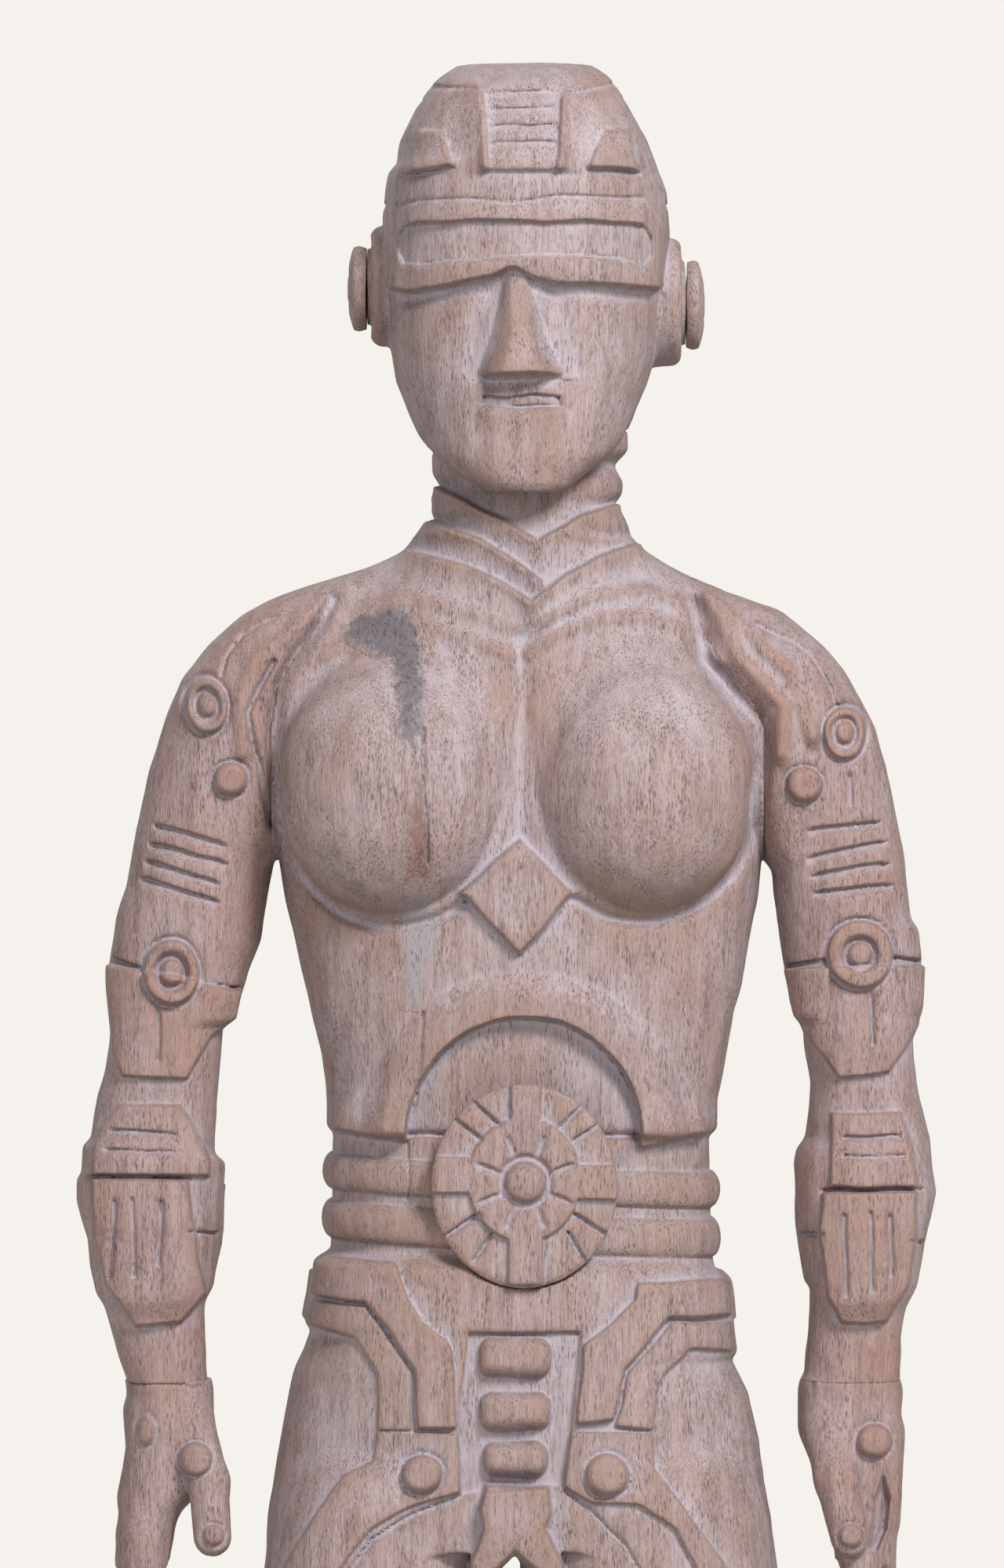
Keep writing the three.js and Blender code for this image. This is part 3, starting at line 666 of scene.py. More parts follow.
def carve_belly():
    """What is carved from under the breasts down to the waist."""
    # the cut that frees each breast from below
    for centre, radius, angles in ((-31.8, 31.4, range(196, 306, 6)), (30.6, 30.4, range(236, 346, 6))):
        arc = [math.radians(a) for a in angles]
        cut = [(centre + radius * math.cos(a), 514 + 1.1 * radius * math.sin(a)) for a in arc]
        front.ridge(cut, 1.5, -1.5)
    # lozenge under the chest, with bevelled edges
    front.plate([(-0.2, 502), (-15.6, 488), (-0.2, 472.6), (13, 488)], 2.4, edge=1.8)
    # the arch over the belly: a rim, then the sunk panel inside it
    where, x, z = front.window([(0.8, 426)], 48)
    radius = np.hypot(x - 0.8, (z - 426) * 0.99)
    above = ramp((z - 425) / 1.5)
    rim = np.clip((42 - radius) / 6, 0, 1) * (radius > 28)
    front.height[where] += above * (1.8 * rim * ramp(radius - 29.6) - 2.6 * ramp(30.6 - radius))
    # the chest plate's lower edge, overhanging the waist
    front.step([(-47, 428.2), (-29.4, 425.2)], height=2.4, wall=0.8, reach=12)
    front.step([(31.2, 423.8), (47, 427.2)], height=2.4, wall=0.8, reach=12)


def carve_hips():
    """Hip plates, rungs, pouch and thigh bands."""
    upper_right = [(-58, 397.2), (-31.6, 393.6), (-29, 385), (-25.4, 378.8), (-19, 374), (-17.6, 371),
                   (-16.8, 352), (-26.4, 351.6), (-27.2, 366.8), (-32.4, 374.6), (-39.4, 383.6), (-58, 387)]
    lower_right = [(-58, 385.4), (-39.6, 382.6), (-28.2, 365.8), (-27.8, 351), (-36.6, 351), (-36.8, 365.8),
                   (-42.4, 374.6), (-58, 379.6)]
    upper_left = [(58, 390.4), (30, 388.4), (29.2, 384), (23.2, 378), (16.2, 372.8), (14, 352.8),
                  (23.2, 353.6), (27, 366.8), (37.8, 379.8), (58, 381)]
    lower_left = [(58, 379), (38.6, 378.6), (27.8, 366), (24, 352), (33.6, 351), (34.6, 360.6),
                  (36.2, 364.2), (43, 372), (58, 371)]
    for outline in (upper_right, upper_left):
        front.plate(outline, 2.0, edge=0.9)
    for outline in (lower_right, lower_left):
        front.plate(outline, 1.3, edge=0.9)
    # the sunk field between them, and its three rounded rungs
    front.plate([(-13.4, 376), (15.4, 376), (10.6, 337), (-15, 334.6), (-16.4, 352)], -1.4, edge=1.2)
    x = -1.6
    for centre_z, half_width, half_height in ((369.8, 9.8, 5.2), (356, 9.6, 5), (343.9, 8.8, 4.6)):
        where, u, v = front.window([(x, centre_z)], 14)
        corner = np.hypot(np.maximum(np.abs(u - x) - half_width + 4, 0) * 1.15,
                          np.maximum(np.abs(v - centre_z) - half_height + 4, 0))
        front.height[where] += 3.4 * np.sqrt(np.clip(1 - (np.clip(corner, 0, 4) / 4) ** 2, 0, 1))
    pouch = [(-9, 337), (6.8, 337), (7.6, 330), (6.4, 326), (10.6, 317), (10, 313), (4, 315), (-1.8, 320),
             (-6, 315), (-12.6, 313), (-12.8, 317), (-9.6, 326), (-10.4, 331)]
    front.plate(pouch, 4.0, edge=1.6)
    front.boss((-25.4, 340), (5.4, 5.4), 2.6)
    front.boss((22.2, 339.8), (5.8, 5.8), 2.6)
    # bands that sweep down and out over each thigh
    front.plate([(-16.4, 350.6), (-36.6, 350.4), (-37.6, 343.6), (-44.6, 339.8), (-51.4, 331.2),
                 (-57.6, 321.6), (-66, 306), (-66, 296), (-57, 306), (-45.4, 316.4), (-38.4, 326),
                 (-27.2, 332), (-15.6, 335.6)],
                1.4, edge=0.8)
    front.plate([(12.6, 351), (33.6, 350), (33.8, 341.6), (42.2, 330.2), (52.6, 316.4), (62, 302), (62, 292),
                 (48, 310), (39.6, 325.6), (30, 332), (18, 332.6), (10.8, 337)], 1.4, edge=0.8)
    front.groove([(-15.4, 334.6), (-27.2, 330.2), (-38.4, 323), (-45.4, 313), (-52, 302)], 1.4, 0.9)
    front.groove([(10.6, 336.4), (18, 330.2), (26.6, 321.6), (33, 310), (38, 298)], 1.4, 0.9)


def carve_chest_side():
    """The deep hollows between the breasts and the shoulders, and the straps beside them."""
    hollow = [(44.2, 562), (47.4, 548), (53.4, 540), (61, 532), (62.2, 524), (60.2, 514), (60.2, 500)]
    front.ridge(hollow, width=2.4, height=-2.8)
    front.ridge([(48.2, 564), (56, 548), (67.2, 536), (66, 524)], width=2.6, height=1.8)
    front.ridge([(53.2, 560), (61, 552), (69.2, 544), (74.2, 528)], width=2.2, height=1.3)
    front.groove([(60, 556.6), (69.8, 552.4), (75, 548), (78.8, 541.6), (80.6, 536)], 1.5, 0.9)
    front.ridge([(-48, 563), (-51.6, 556.4), (-57, 549), (-62, 541), (-63.4, 530), (-62.6, 506)], 1.6, -2.6)
    front.groove([(-63, 547), (-66.6, 541.4), (-69.8, 534.2), (-68, 525.8), (-66.6, 520.8), (-64, 506)],
                 2, 1.2)
    front.groove([(-76.4, 544), (-75.2, 548.6), (-71, 554.2), (-62.4, 559)], 1.4, 0.8)
    front.ridge([(-51, 562), (-60, 554), (-67.5, 548), (-71.5, 538), (-71, 524)], 2.4, 1.2)


def carve_right_arm():
    """Discs, studs, cuts and guards, from the shoulder down to the wrist."""
    front.ringed_disc((-80.2, 536), (5.3, 6.9), 1.6, 1.5)
    front.boss((-73.8, 517.2), (4.5, 4.5), 2.0)
    for line in ([(-92, 505.6), (-76.4, 501)], [(-93, 500.4), (-76.4, 496.4)], [(-94.2, 496), (-78.4, 491.4)],
                 [(-95.4, 491.6), (-78.6, 486.4)]):
        front.groove(line, 2.2, 1.1)
    front.ringed_disc((-89, 467.8), (7, 8.2), 2.0, 2.2)
    front.groove([(-106, 472.4), (-96.8, 468.8)], 1.4, 1.0)
    front.groove([(-81.6, 465.4), (-70, 464)], 1.4, 1.0)
    front.groove([(-92.4, 459), (-92.6, 445.6)], 1.6, 1.0)
    front.plate([(-106, 470), (-104, 447), (-101.8, 441.4), (-85.2, 440.8), (-79.2, 451.4), (-72.6, 456),
                 (-71, 463.6)], 1.6, edge=1.0)
    front.plate([(-108, 428), (-102.4, 434), (-86.8, 434), (-85.2, 431.4), (-79.2, 419.8), (-79.2, 416),
                 (-110, 416.4)], 1.6, edge=1.2)
    front.groove([(-104.4, 427.6), (-88.6, 427)], 1.3, 0.9)
    front.groove([(-105.6, 423), (-88.6, 422.4)], 1.3, 0.9)
    front.groove([(-110.5, 416.2), (-84.6, 415.6)], 1.2, 0.9)
    front.plate([(-109.4, 415.4), (-109, 400), (-105.8, 388.8), (-98.6, 377.8), (-87, 378.6), (-80.4, 386.2),
                 (-83.4, 402), (-84.8, 415)], 2.2, edge=1.1)
    for line in ([(-103.6, 409.4), (-104.6, 390.2)], [(-99.2, 409.8), (-98.6, 390.8)],
                 [(-92, 409.4), (-92.6, 393.4)]):
        front.groove(line, 1.8, 1.0)
    front.groove([(-84.2, 402), (-76, 401.8)], 1.4, 0.9)


def carve_left_arm():
    """The same things on the other arm, each a little different, as a hand cuts them."""
    front.ringed_disc((82.6, 529), (5.4, 6.6), 1.6, 1.6)
    front.boss((72.4, 515.8), (4.9, 4.9), 2.2)
    front.groove([(83.8, 517.8), (83.8, 511)], 2.2, 1.0)
    for line in ([(74.4, 504.6), (89.8, 506.4)], [(74.4, 497.8), (91.6, 501)], [(75.6, 493.2), (92.6, 495.8)],
                 [(76.4, 488.4), (93.4, 490.4)]):
        front.groove(line, 2.2, 1.1)
    front.ringed_disc((86.6, 472.6), (8.2, 8.4), 2.0, 2.3)
    front.groove([(67, 469.8), (77.6, 471.4)], 1.4, 1.0)
    front.groove([(95.4, 472), (104, 471)], 1.4, 1.0)
    front.groove([(88.8, 463.2), (89.6, 449.6)], 1.6, 1.0)
    front.plate([(66.8, 469), (69.6, 457), (73, 452), (81, 441.2), (94.2, 442.6), (103, 456), (103, 470)],
                1.6, edge=1.0)
    front.plate([(79, 432), (79, 413), (100.6, 413), (99.6, 424), (96.8, 432)], 1.6, edge=1.2)
    front.groove([(82.8, 426.2), (96, 426.4)], 1.3, 0.9)
    front.groove([(82.6, 421.2), (97.2, 421.6)], 1.3, 0.9)
    front.groove([(77.2, 412.4), (101.4, 412.8)], 1.2, 0.9)
    front.plate([(77, 411.6), (76, 401.4), (78.2, 385.4), (81.6, 378.4), (93.4, 378.6), (99, 388),
                 (100.8, 400), (100.4, 412)], 2.2, edge=1.1)
    for line in ([(82.4, 405.8), (83, 385.4)], [(89, 406.4), (89.4, 386.6)], [(94.4, 405.8), (94.4, 390.4)]):
        front.groove(line, 1.8, 1.0)
    front.groove([(70.4, 401.4), (76.6, 401.4)], 1.4, 0.9)
    front.groove([(100.2, 399.4), (104, 399.4)], 1.4, 0.9)


def carve_legs():
    """Knees, shins and boots, in the manner of the arms."""
    for side in (-1, 1):
        x = 34 * side
        front.ringed_disc((x, 205), (12, 12.5), 2.4, 4.5)
        front.groove([(x - 24, 205), (x - 13, 205)], 1.6, 1.1)
        front.groove([(x + 13, 205), (x + 24, 205)], 1.6, 1.1)
        shin = [(-15, 184), (15, 184), (13, 130), (8, 94), (-8, 94), (-13, 130)]
        front.plate([(x + u, z) for u, z in shin][::-1], 2.2, edge=1.2)
        for u in (-6, 0, 6):
            front.groove([(x + u, 172), (x + u * 0.8, 136)], 2.0, 1.1)
        front.groove([(x - 12, 124), (x + 12, 124)], 1.5, 1.0)
        for level in (262, 256, 250):
            front.step([(x + 15, level), (x - 15, level + side)], height=1.3, wall=0.9, reach=4)
        for level in (70, 64):
            front.groove([(x - 24, level), (x + 24, level)], 1.5, 1.0)
            back.groove([(x - 24, level), (x + 24, level)], 1.5, 1.0)
        front.step([(x - 24, 30.5), (x + 24, 30.5)][::-1], height=-1.2, wall=0.8, reach=5)
        back.step([(x - 24, 30.5), (x + 24, 30.5)][::-1], height=-1.2, wall=0.8, reach=5)
        calf = [(-14, 172), (14, 172), (15, 140), (8, 112), (-8, 112), (-15, 140)]
        back.plate([(x + u, z) for u, z in calf][::-1], 1.8, edge=1.2)
        back.groove([(x, 164), (x, 120)], 1.8, 1.0)
        back.groove([(x - 24, 205), (x + 24, 205)], 1.6, 1.1)


def carve_back():
    """The spine, shoulder blades and seat, which carry on the front's bands."""
    back.ridge([(1, 566), (0, 500), (0, 436)], 3.4, -2.6)
    for level in range(444, 560, 11):
        back.boss((0, level), (4.6, 4.2), 2.4, round_off=0.8, sink=0.3)
    for side in (-1, 1):
        blade = [(12, 556), (40, 552), (52, 536), (50, 512), (34, 494), (14, 500)]
        outline = [(side * x, z) for x, z in blade]
        back.plate(outline, 1.8, edge=1.4)
        back.groove([(side * x, z) for x, z in ((20, 546), (40, 538), (42, 518))], 1.6, 1.0)
        for level in (484, 476, 468):
            back.step([(46, level + 3), (16, level)] if side > 0 else [(-16, level), (-46, level + 3)],
                      height=1.3, wall=0.9, reach=4)
        seat = [(4, 392), (56, 392), (58, 380), (40, 374), (24, 352), (8, 344), (4, 350)]
        back.plate([(side * x, z) for x, z in seat], 1.6, edge=1.0)
        back.boss((side * 30, 366), (5.4, 5.4), 2.0)
        back.ringed_disc((side * 88, 468), (8, 8.4), 1.8, 3.0)
        guard = [(74, 414), (104, 414), (103, 398), (96, 380), (82, 380), (76, 398)]
        back.plate([(side * x, z) for x, z in guard], 1.8, edge=1.1)
        for x in (83, 89, 95):
            back.groove([(side * x, 407), (side * x, 390)], 1.8, 1.0)
        for level in (504, 498, 492):
            back.groove([(side * 72, level), (side * 92, level + 2)], 1.4, 0.9)
    back.ridge([(0, 352), (0, 318)], 3.0, -3.0)


def carve_body():
    """Everything that is carved on the trunk and arms, front and back."""
    carve_collar()
    carve_belly()
    carve_hips()
    carve_chest_side()
    carve_right_arm()
    carve_left_arm()
    carve_legs()
    carve_back()


ROOM = (-130, -70, 10), (130, 60, 720)  # a box about the figure
TOOL_MARKS = lattice_noise(3, *ROOM, (5.5, 7, 9))
RIPPLE = lattice_noise(4, *ROOM, (1.6, 2.4, 3.8))


def hand_worked(x, y, z, deep=0.3):
    """The unevenness that a gouge and a rasp leave, in mm."""
    return deep * TOOL_MARKS(x, y, z) + 0.08 * RIPPLE(x, y, z)


WANDER = [lattice_noise(seed, *ROOM, (7, 30, 7)) for seed in (5, 6)]


def drawn(x, y, z, wobble=0.45):
    """Where a point is on the front drawing, with the wander of lines that were cut by hand."""
    u, v = front_view(x, y, z)
    return u + wobble * WANDER[0](x, y, z), v + wobble * WANDER[1](x, y, z)


def carved(x, y, z, form, **parts):
    """The body with its carving, where form is the loft whose facing decides what is front and back."""
    u, v = drawn(x, y, z)
    facing = form(x, y, z)
    away = body(x, y, z, **parts) - facing * front.read(u, v)
    rear = ramp(y / 14) * (1 - facing)
    return away - rear * back.read(x, z) - hand_worked(x, y, z)


# ------------------------------------------------------------------ the head

HEAD = Loft(
    right=[(588, -4), (590.5, -10), (593, -14.5), (596, -18), (600, -22.4), (605, -26), (610, -28.4),
           (618, -31.6), (627, -33.2), (640, -34.4), (661, -35), (668, -34.4), (672.4, -33.4), (673.6, -31.4),
           (680, -30.8), (688, -26.6), (695, -22), (699, -17), (701, -14)],
    left=[(588, 7), (591, 12.5), (594.4, 16.6), (598.7, 22), (603, 25.6), (607, 27.6), (612, 29.4),
          (617, 31.6), (622, 33.4), (640, 36.4), (656, 38), (661, 37.6), (667, 37), (673.4, 34.6),
          (681, 31.6), (689.4, 27), (696.4, 22.4), (699, 19), (701, 16)],
    front=[(588, -37), (591, -40), (598, -42), (612, -42), (640, -42), (648, -43), (666, -44), (675, -42.5),
           (685, -39), (692, -34), (695.5, -28), (697.5, -20), (698.5, -12), (700, -4)],
    back=[(588, -28), (591, -20), (596, -6), (600, 12), (603.4, 26), (608, 33), (616, 38), (626, 42),
          (640, 45), (655, 47), (668, 46.5), (680, 43), (690, 36.5), (696, 30), (698.5, 24), (700, 18)],
    bottom=589.5, top=699.4, power=2.6, smooth=0.8,
)
# each ear drum's reach out to the side, height and radius
EARS = {-1: (39.0, 643.0, 15.7), 1: (41.8, 639.0, 16.8)}
EAR_Y = 2.0

face = Elevation((-46, 584), (50, 706), 0.2)
face_sides = Elevation((-52, 584), (52, 706), 0.4)  # y across: what is carved round the sides and back


def carve_helmet():
    """Channel, cuts and temple blocks above the brow."""
    # the middle channel between two facetted ridges, with its four cuts and its overhanging foot
    face.step([(-9, 673.4), (-10.6, 693.4)], height=2.0, wall=1.5, reach=7.5)
    face.step([(11.2, 691.6), (9.8, 673.4)], height=2.0, wall=1.2, reach=7.5)
    face.step([(9.8, 673.2), (-8.8, 673.4)][::-1], height=1.5, wall=1.6, reach=16)
    for level in (692.4, 688.2, 683.8, 679.6):
        face.groove([(-6.8, level), (7.6, level + 0.5)], 1.7, 0.9)
    face.groove([(-23.5, 694), (-10.6, 693.4)], 1.3, 0.7)
    face.groove([(11.2, 691.8), (24, 694.8)], 1.3, 0.7)
    # raised blocks on the temples
    for block in ([(-26.4, 682.8), (-28.6, 672.6), (-17.6, 674), (-19.4, 682.4)],
                  [(21.4, 683), (17.6, 673.8), (29.6, 672.8), (27.4, 683.4)]):
        face.plate(block, 1.3, edge=1.2)
        low = sorted(block, key=lambda p: p[1])[:2]
        face.step(sorted(low), height=1.0, wall=1.5, reach=7)
    face.groove([(-30, 671.4), (-28.8, 671.6), (-17.4, 673.2)], 1.4, 0.8)
    face.groove([(17.6, 673), (29.6, 671.8)], 1.4, 0.8)


def carve_visor():
    """The brow, the visor's sunk window and its overhanging lower edge."""
    face.groove([(-31, 664), (-29, 664.6), (-16.6, 665.8), (-2.8, 664.6), (9.4, 666.2), (31, 665.6)],
                1.2, 0.6)
    lower_edge = [(-32.8, 642.8), (-29, 642.2), (-18.2, 643.6), (-7.4, 646.2), (-2.2, 648.6),
                  (3.2, 645.8), (9.4, 644.2), (20, 643.8), (32.4, 643), (34.6, 642.9)]
    face.step(lower_edge, height=2.5, wall=1.1, reach=22)
    face.ridge([(x, z - 2.6) for x, z in lower_edge[1:-1]], 1.8, -0.8)
    slot = [(-30.2, 648.6), (-31.2, 651), (-31.2, 655), (-30, 657.8), (-26.6, 659.4), (-14.4, 660),
            (-2.8, 660.2), (6.2, 659.4), (17, 660), (29, 659.2), (32.2, 657.6), (33.4, 654.6), (33.4, 650.4),
            (31.6, 648), (27.8, 649.4), (12.4, 651), (-1.4, 650.8), (-14.4, 650), (-25.8, 648.4)]
    face.plate(slot, -0.9, edge=0.8)
    brow_edge = [(-28, 659.2), (-14.4, 660), (-2.8, 660.2), (6.2, 659.4), (17, 660), (30.6, 659)]
    face.step(brow_edge, height=1.3, wall=0.9, reach=6)
    face.groove([(-25.8, 648.6), (-14.4, 650), (-1.4, 650.8), (12.4, 651.2), (27.8, 649.6), (31.6, 647.4)],
                1.2, 0.6)


def carve_features():
    """A plain wedge of a nose, a slit of a mouth and a flat chin."""
    where, x, z = face.window([(0, 634)], 22)
    down = np.clip((647.5 - z) / (647.5 - 621.4), 0, 1)
    centre = -1.2 + 0.9 * down
    half = 3.2 + 5.6 * down + 2.6 * down**4
    across = np.sin(0.5 * math.pi * np.clip((half - np.abs(x - centre)) / (0.8 * half), 0, 1)) ** 1.2
    under = ramp((z - 619.2) / 2.2)
    face.height[where] += (1.2 + 6.4 * down) * across * under * (z < 648.5)
    # eye sockets run down beside the nose under the visor
    for side in (-1, 1):
        face.ridge([(side * 8, 641), (side * 11.5, 634), (side * 13.5, 622)], 3.2, -1.0)
        face.ridge([(side * 9, 642), (side * 26, 640)], 4.0, -1.0)
        face.ridge([(side * 11.6, 610), (side * 11.6, 594)], 1.6, -0.4)
    face.plate([(-10, 615), (-3, 614.6), (3.4, 615.4), (10.2, 615), (10.4, 612.4), (0.4, 611.6),
                (-10.2, 612.6)],
               -1.6, edge=0.8)
    face.plate([(-2.4, 614.2), (9.6, 614.6), (9.8, 612.8), (-2, 612.4)], 0.7, edge=0.7)
    face.step([(10.6, 611), (0, 609.8), (-10.2, 611)], height=1.0, wall=1.2, reach=9)
    face.ridge([(-8, 619), (8, 619)], 2.4, -0.8)


def carve_head_sides():
    """Cuts and ledges that run round the sides and back of the head."""
    face_sides.groove([(-30, 664.6), (52, 662)], 1.6, 0.8)
    face_sides.groove([(-20, 690), (30, 690)], 1.6, 0.8)
    face_sides.step([(-48, 641), (-14, 641)], height=1.6, wall=1.4, reach=12)
    face_sides.step([(16, 641), (50, 641)], height=1.6, wall=1.4, reach=12)
    for y in (26, 34, 42):
        face_sides.groove([(y, 684 - 0.4 * y), (y, 668)], 1.6, 0.8)
    face_sides.groove([(18, 628), (46, 628)], 1.6, 0.8)
    face_sides.groove([(18, 621), (46, 621)], 1.6, 0.8)


def ear_drums(x, y, z):
    """The round drums over the ears that the discs are pegged to."""
    drums = []
    for side, (reach, height, radius) in EARS.items():
        radial = np.hypot(y - EAR_Y, z - height)
        out = side * x
        soft = 3.4
        rim = np.hypot(np.maximum(radial - radius + soft, 0), np.maximum(out - reach + soft, 0)) - soft
        rim = rim + 0.12 * np.maximum(out - reach + 8, 0) * (radial > radius - 6)
        moat = np.exp(-(((radial - radius + 4.2) / 0.9) ** 2)) * ramp((out - reach + 3) / 2)
        drums.append(np.maximum(rim, 6 - out) + 1.1 * moat)
    return np.minimum(*drums)


def head(x, y, z):
    """The head, hollowed underneath to sit on the neck."""
    facing = HEAD.facing_front(x, y, z)
    shape = HEAD(x, y, z)
    u, v = drawn(x, y, z, 0.35)
    shape = shape - facing * face.read(u, v)
    wrap = ramp((np.abs(x) - 16) / 10) * (1 - facing)
    shape = shape - wrap * face_sides.read(y, z)
    shape = blend(shape, ear_drums(x, y, z), 0.8) - hand_worked(x, y, z)
    socket = NECK(x, y, z) - 0.4 - 2.8 * NECK.facing_front(x, y, z)
    return np.maximum(shape, -socket)


# ------------------------------------------------------------------ smaller pieces


def ear_disc(side):
    """The domed cap on each ear drum."""
    reach, height, _ = EARS[side]
    radius = 10.8 if side < 0 else 11.5

    def field(x, y, z):
        radial = np.hypot(y - EAR_Y, z - height + 0.6)
        out = side * x - reach - 0.4
        dome = 4.6 - 1.6 * (radial / radius) ** 3
        rim = np.maximum(radial - radius + 0.25 * np.abs(out - 1.8) ** 1.3, out - dome)
        hub = np.exp(-(((radial - 4.2) / 0.8) ** 2)) * 0.7
        return np.maximum(rim + hub * (out > 1), -out) - hand_worked(x, y, z)

    return field


MEDALLION = {"x": 0.8, "z": 415.0, "half_width": 23.3, "half_height": 25.6, "back": -35.4, "thick": 3.4}
emblem = Elevation((-26, 386), (28, 444), 0.2)


def carve_medallion():
    """A wheel with four broad arms, spoke cuts between them, and a plain rosette in the middle."""
    x0, z0 = MEDALLION["x"], MEDALLION["z"]
    for arm_outline in (
        [(-2.6, 425), (-2.6, 441), (5, 441), (5, 425)][::-1],
        [(-3.2, 404), (5.6, 404), (5.6, 388), (-3.2, 388)][::-1],
        [(-24, 411.6), (-24, 420.8), (-10, 420.8), (-10, 411.6)][::-1],
        [(10, 418.8), (26, 418.6), (26, 409.8), (10, 410.2)][::-1],
    ):
        emblem.plate(arm_outline, 1.7, edge=0.8)
    where, x, z = emblem.window([(x0, z0)], 30)
    radius = np.hypot((x - x0) / MEDALLION["half_width"], (z - z0) / MEDALLION["half_height"])
    hub = 1.7 * ramp((0.62 - radius) / 0.05 + 0.5)
    emblem.height[where] = np.maximum(emblem.height[where], hub)
    for spoke in (
        [(-13.6, 436.6), (-5.6, 429.4)], [(-18.4, 432), (-10.2, 425.8)], [(15.8, 434.4), (9.8, 428.6)],
        [(20.8, 430), (13.6, 425.4)], [(-18.6, 401.4), (-11.6, 406.2)], [(-12, 394.4), (-7.4, 401.2)],
        [(14.4, 406.2), (21.6, 401.4)], [(12, 401.6), (15.8, 395)],
    ):
        emblem.groove(spoke, 1.6, 1.3)
    # the rosette: a domed boss in a sunk ring, with eight chips round it
    where, x, z = emblem.window([(x0 + 0.4, z0 - 0.6)], 14)
    radius = np.hypot(x - x0 - 0.4, z - z0 + 0.6)
    emblem.height[where] += 1.9 * np.sqrt(np.clip(1 - (radius / 5.2) ** 2, 0, 1))
    emblem.height[where] -= 1.3 * np.exp(-((radius - 6.2) ** 2))
    for k in range(8):
        angle = math.radians(22.5 + 45 * k)
        start = (x0 + 0.4 + 8.2 * math.cos(angle), z0 - 0.6 + 8.2 * math.sin(angle))
        end = (x0 + 0.4 + 12 * math.cos(angle), z0 - 0.6 + 12 * math.sin(angle))
        emblem.groove([start, end], 2.2, 1.0)


def medallion(x, y, z):
    """An oval plate with the emblem on its face and a bevelled edge."""
    u = (x - MEDALLION["x"]) / MEDALLION["half_width"]
    v = (z - MEDALLION["z"]) / MEDALLION["half_height"]
    radial = (np.hypot(u, v) - 1) * MEDALLION["half_width"]
    face_y = MEDALLION["back"] - MEDALLION["thick"]
    p, q = front_view(x, y, z)
    front_side = face_y - y - emblem.read(p, q) + 0.8 * ramp((radial + 1.6) / 1.6)
    return np.maximum(np.maximum(front_side, y - MEDALLION["back"]), radial) - hand_worked(x, y, z, 0.12)


def plinth(x, y, z):
    """A block with rounded edges, a cut line round it, and tool marks."""
    (x0, y0, _), (x1, y1, z1) = [[c / MM for c in corner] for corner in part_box("plinth")]
    px = np.abs(x - (x0 + x1) / 2) - (x1 - x0) / 2
    py = np.abs(y - (y0 + y1) / 2) - (y1 - y0) / 2
    pz = np.abs(z - z1 / 2) - z1 / 2
    soft = 2.5
    box = np.sqrt(sum(np.maximum(q + soft, 0) ** 2 for q in (px, py, pz))) - soft
    box = box + np.minimum(np.maximum(np.maximum(px, py), pz) + soft, 0)
    groove = 1.4 * np.exp(-((z - 12) ** 2))
    marks = 0.3 * TOOL_MARKS(x * 0.4, y * 0.4, z) * ramp(z / 3)
    return box + groove - marks + 0.3 * ramp((z - 20) / 4)


# ------------------------------------------------------------------ the hands


KNUCKLES = 324  # their height
FINGER_RADII = (4.6, 4.8, 4.6, 4.1)


def hand(side):
    """A carved hand hanging with its thumb forward: palm, thumb and four fingers."""
    if side < 0:
        outer = [(310, -100), (318, -102.4), (322, -101.6), (334, -102.8), (341, -101.8), (347, -100.8),
                 (357, -101.6), (360, -100.4), (365, -101)]
        inner = [(310, -91), (318, -89.6), (327, -88.2), (331, -86.4), (334, -83), (340, -79.6), (350, -78),
                 (362, -78.4), (365, -79)]
        edges = outer, inner, [(310, -12), (330, -12.5), (350, -14), (360, -13), (365, -13)]
        thumb = [limb((-84, -7, 354), (-79.4, -12.5, 339), 6.0, 5.0),
                 limb((-79.4, -12.5, 339), (-78.3, -13.5, 325), 5.0, 4.9)]
        spread = [(-95.4, -9.2, 300), (-97.5, -2.6, 296), (-97, 4.0, 298), (-96, 10.2, 304)]
    else:
        outer = [(310, 94), (318, 94), (324, 94.6), (327, 96.6), (337, 97.2), (345, 97.8), (352, 98),
                 (355, 97), (362, 97.4), (365, 96.4)]
        inner = [(310, 80), (320, 80), (337, 77), (343, 74), (351, 70.4), (362, 70.6), (365, 71.4)]
        edges = inner, outer, [(310, -10), (330, -11), (350, -14), (360, -13), (365, -13)]
        thumb = [limb((77.5, -8, 352), (80, -13, 340), 6.2, 5.2),
                 limb((80, -13, 340), (83.2, -14.5, 325), 5.4, 5.0)]
        spread = [(86.0, -9.0, 300), (90, -2.4, 296), (90, 4.0, 298), (90.5, 10.2, 304)]

    palm_back = [(310, 12), (330, 14), (350, 14), (365, 13)]
    palm = Loft(*edges, palm_back, 318, WRIST - JOIN, power=2.4, smooth=1.0)

    fingers = []
    for (x, y, tip), radius in zip(spread, FINGER_RADII):
        knuckle = (x + side * 0.5, y * 0.95, KNUCKLES)
        middle = (x, y, (KNUCKLES + tip) / 2)
        fingers.append(limb(knuckle, middle, radius, radius - 0.3))
        fingers.append(limb(middle, (x - side * 2.5, y + 1.0, tip), radius - 0.2, radius - 0.9))

    def field(x, y, z):
        shape = palm(x, y, z)
        digits = fingers[0](x, y, z)
        for finger in fingers[2::2]:
            digits = blend(digits, finger(x, y, z), 0.8)
        for finger in fingers[1::2]:
            digits = blend(digits, finger(x, y, z), 0.6)
        shape = blend(shape, digits, 4)
        root = blend(thumb[0](x, y, z), thumb[1](x, y, z), 2.5)
        shape = blend(shape, root, 2.6)
        u, v = front_view(x, y, z)
        shape = shape - ramp((-y - 1) / 5) * hands.read(u, v)
        return np.maximum(shape - hand_worked(x, y, z), z - WRIST + JOIN)

    return field


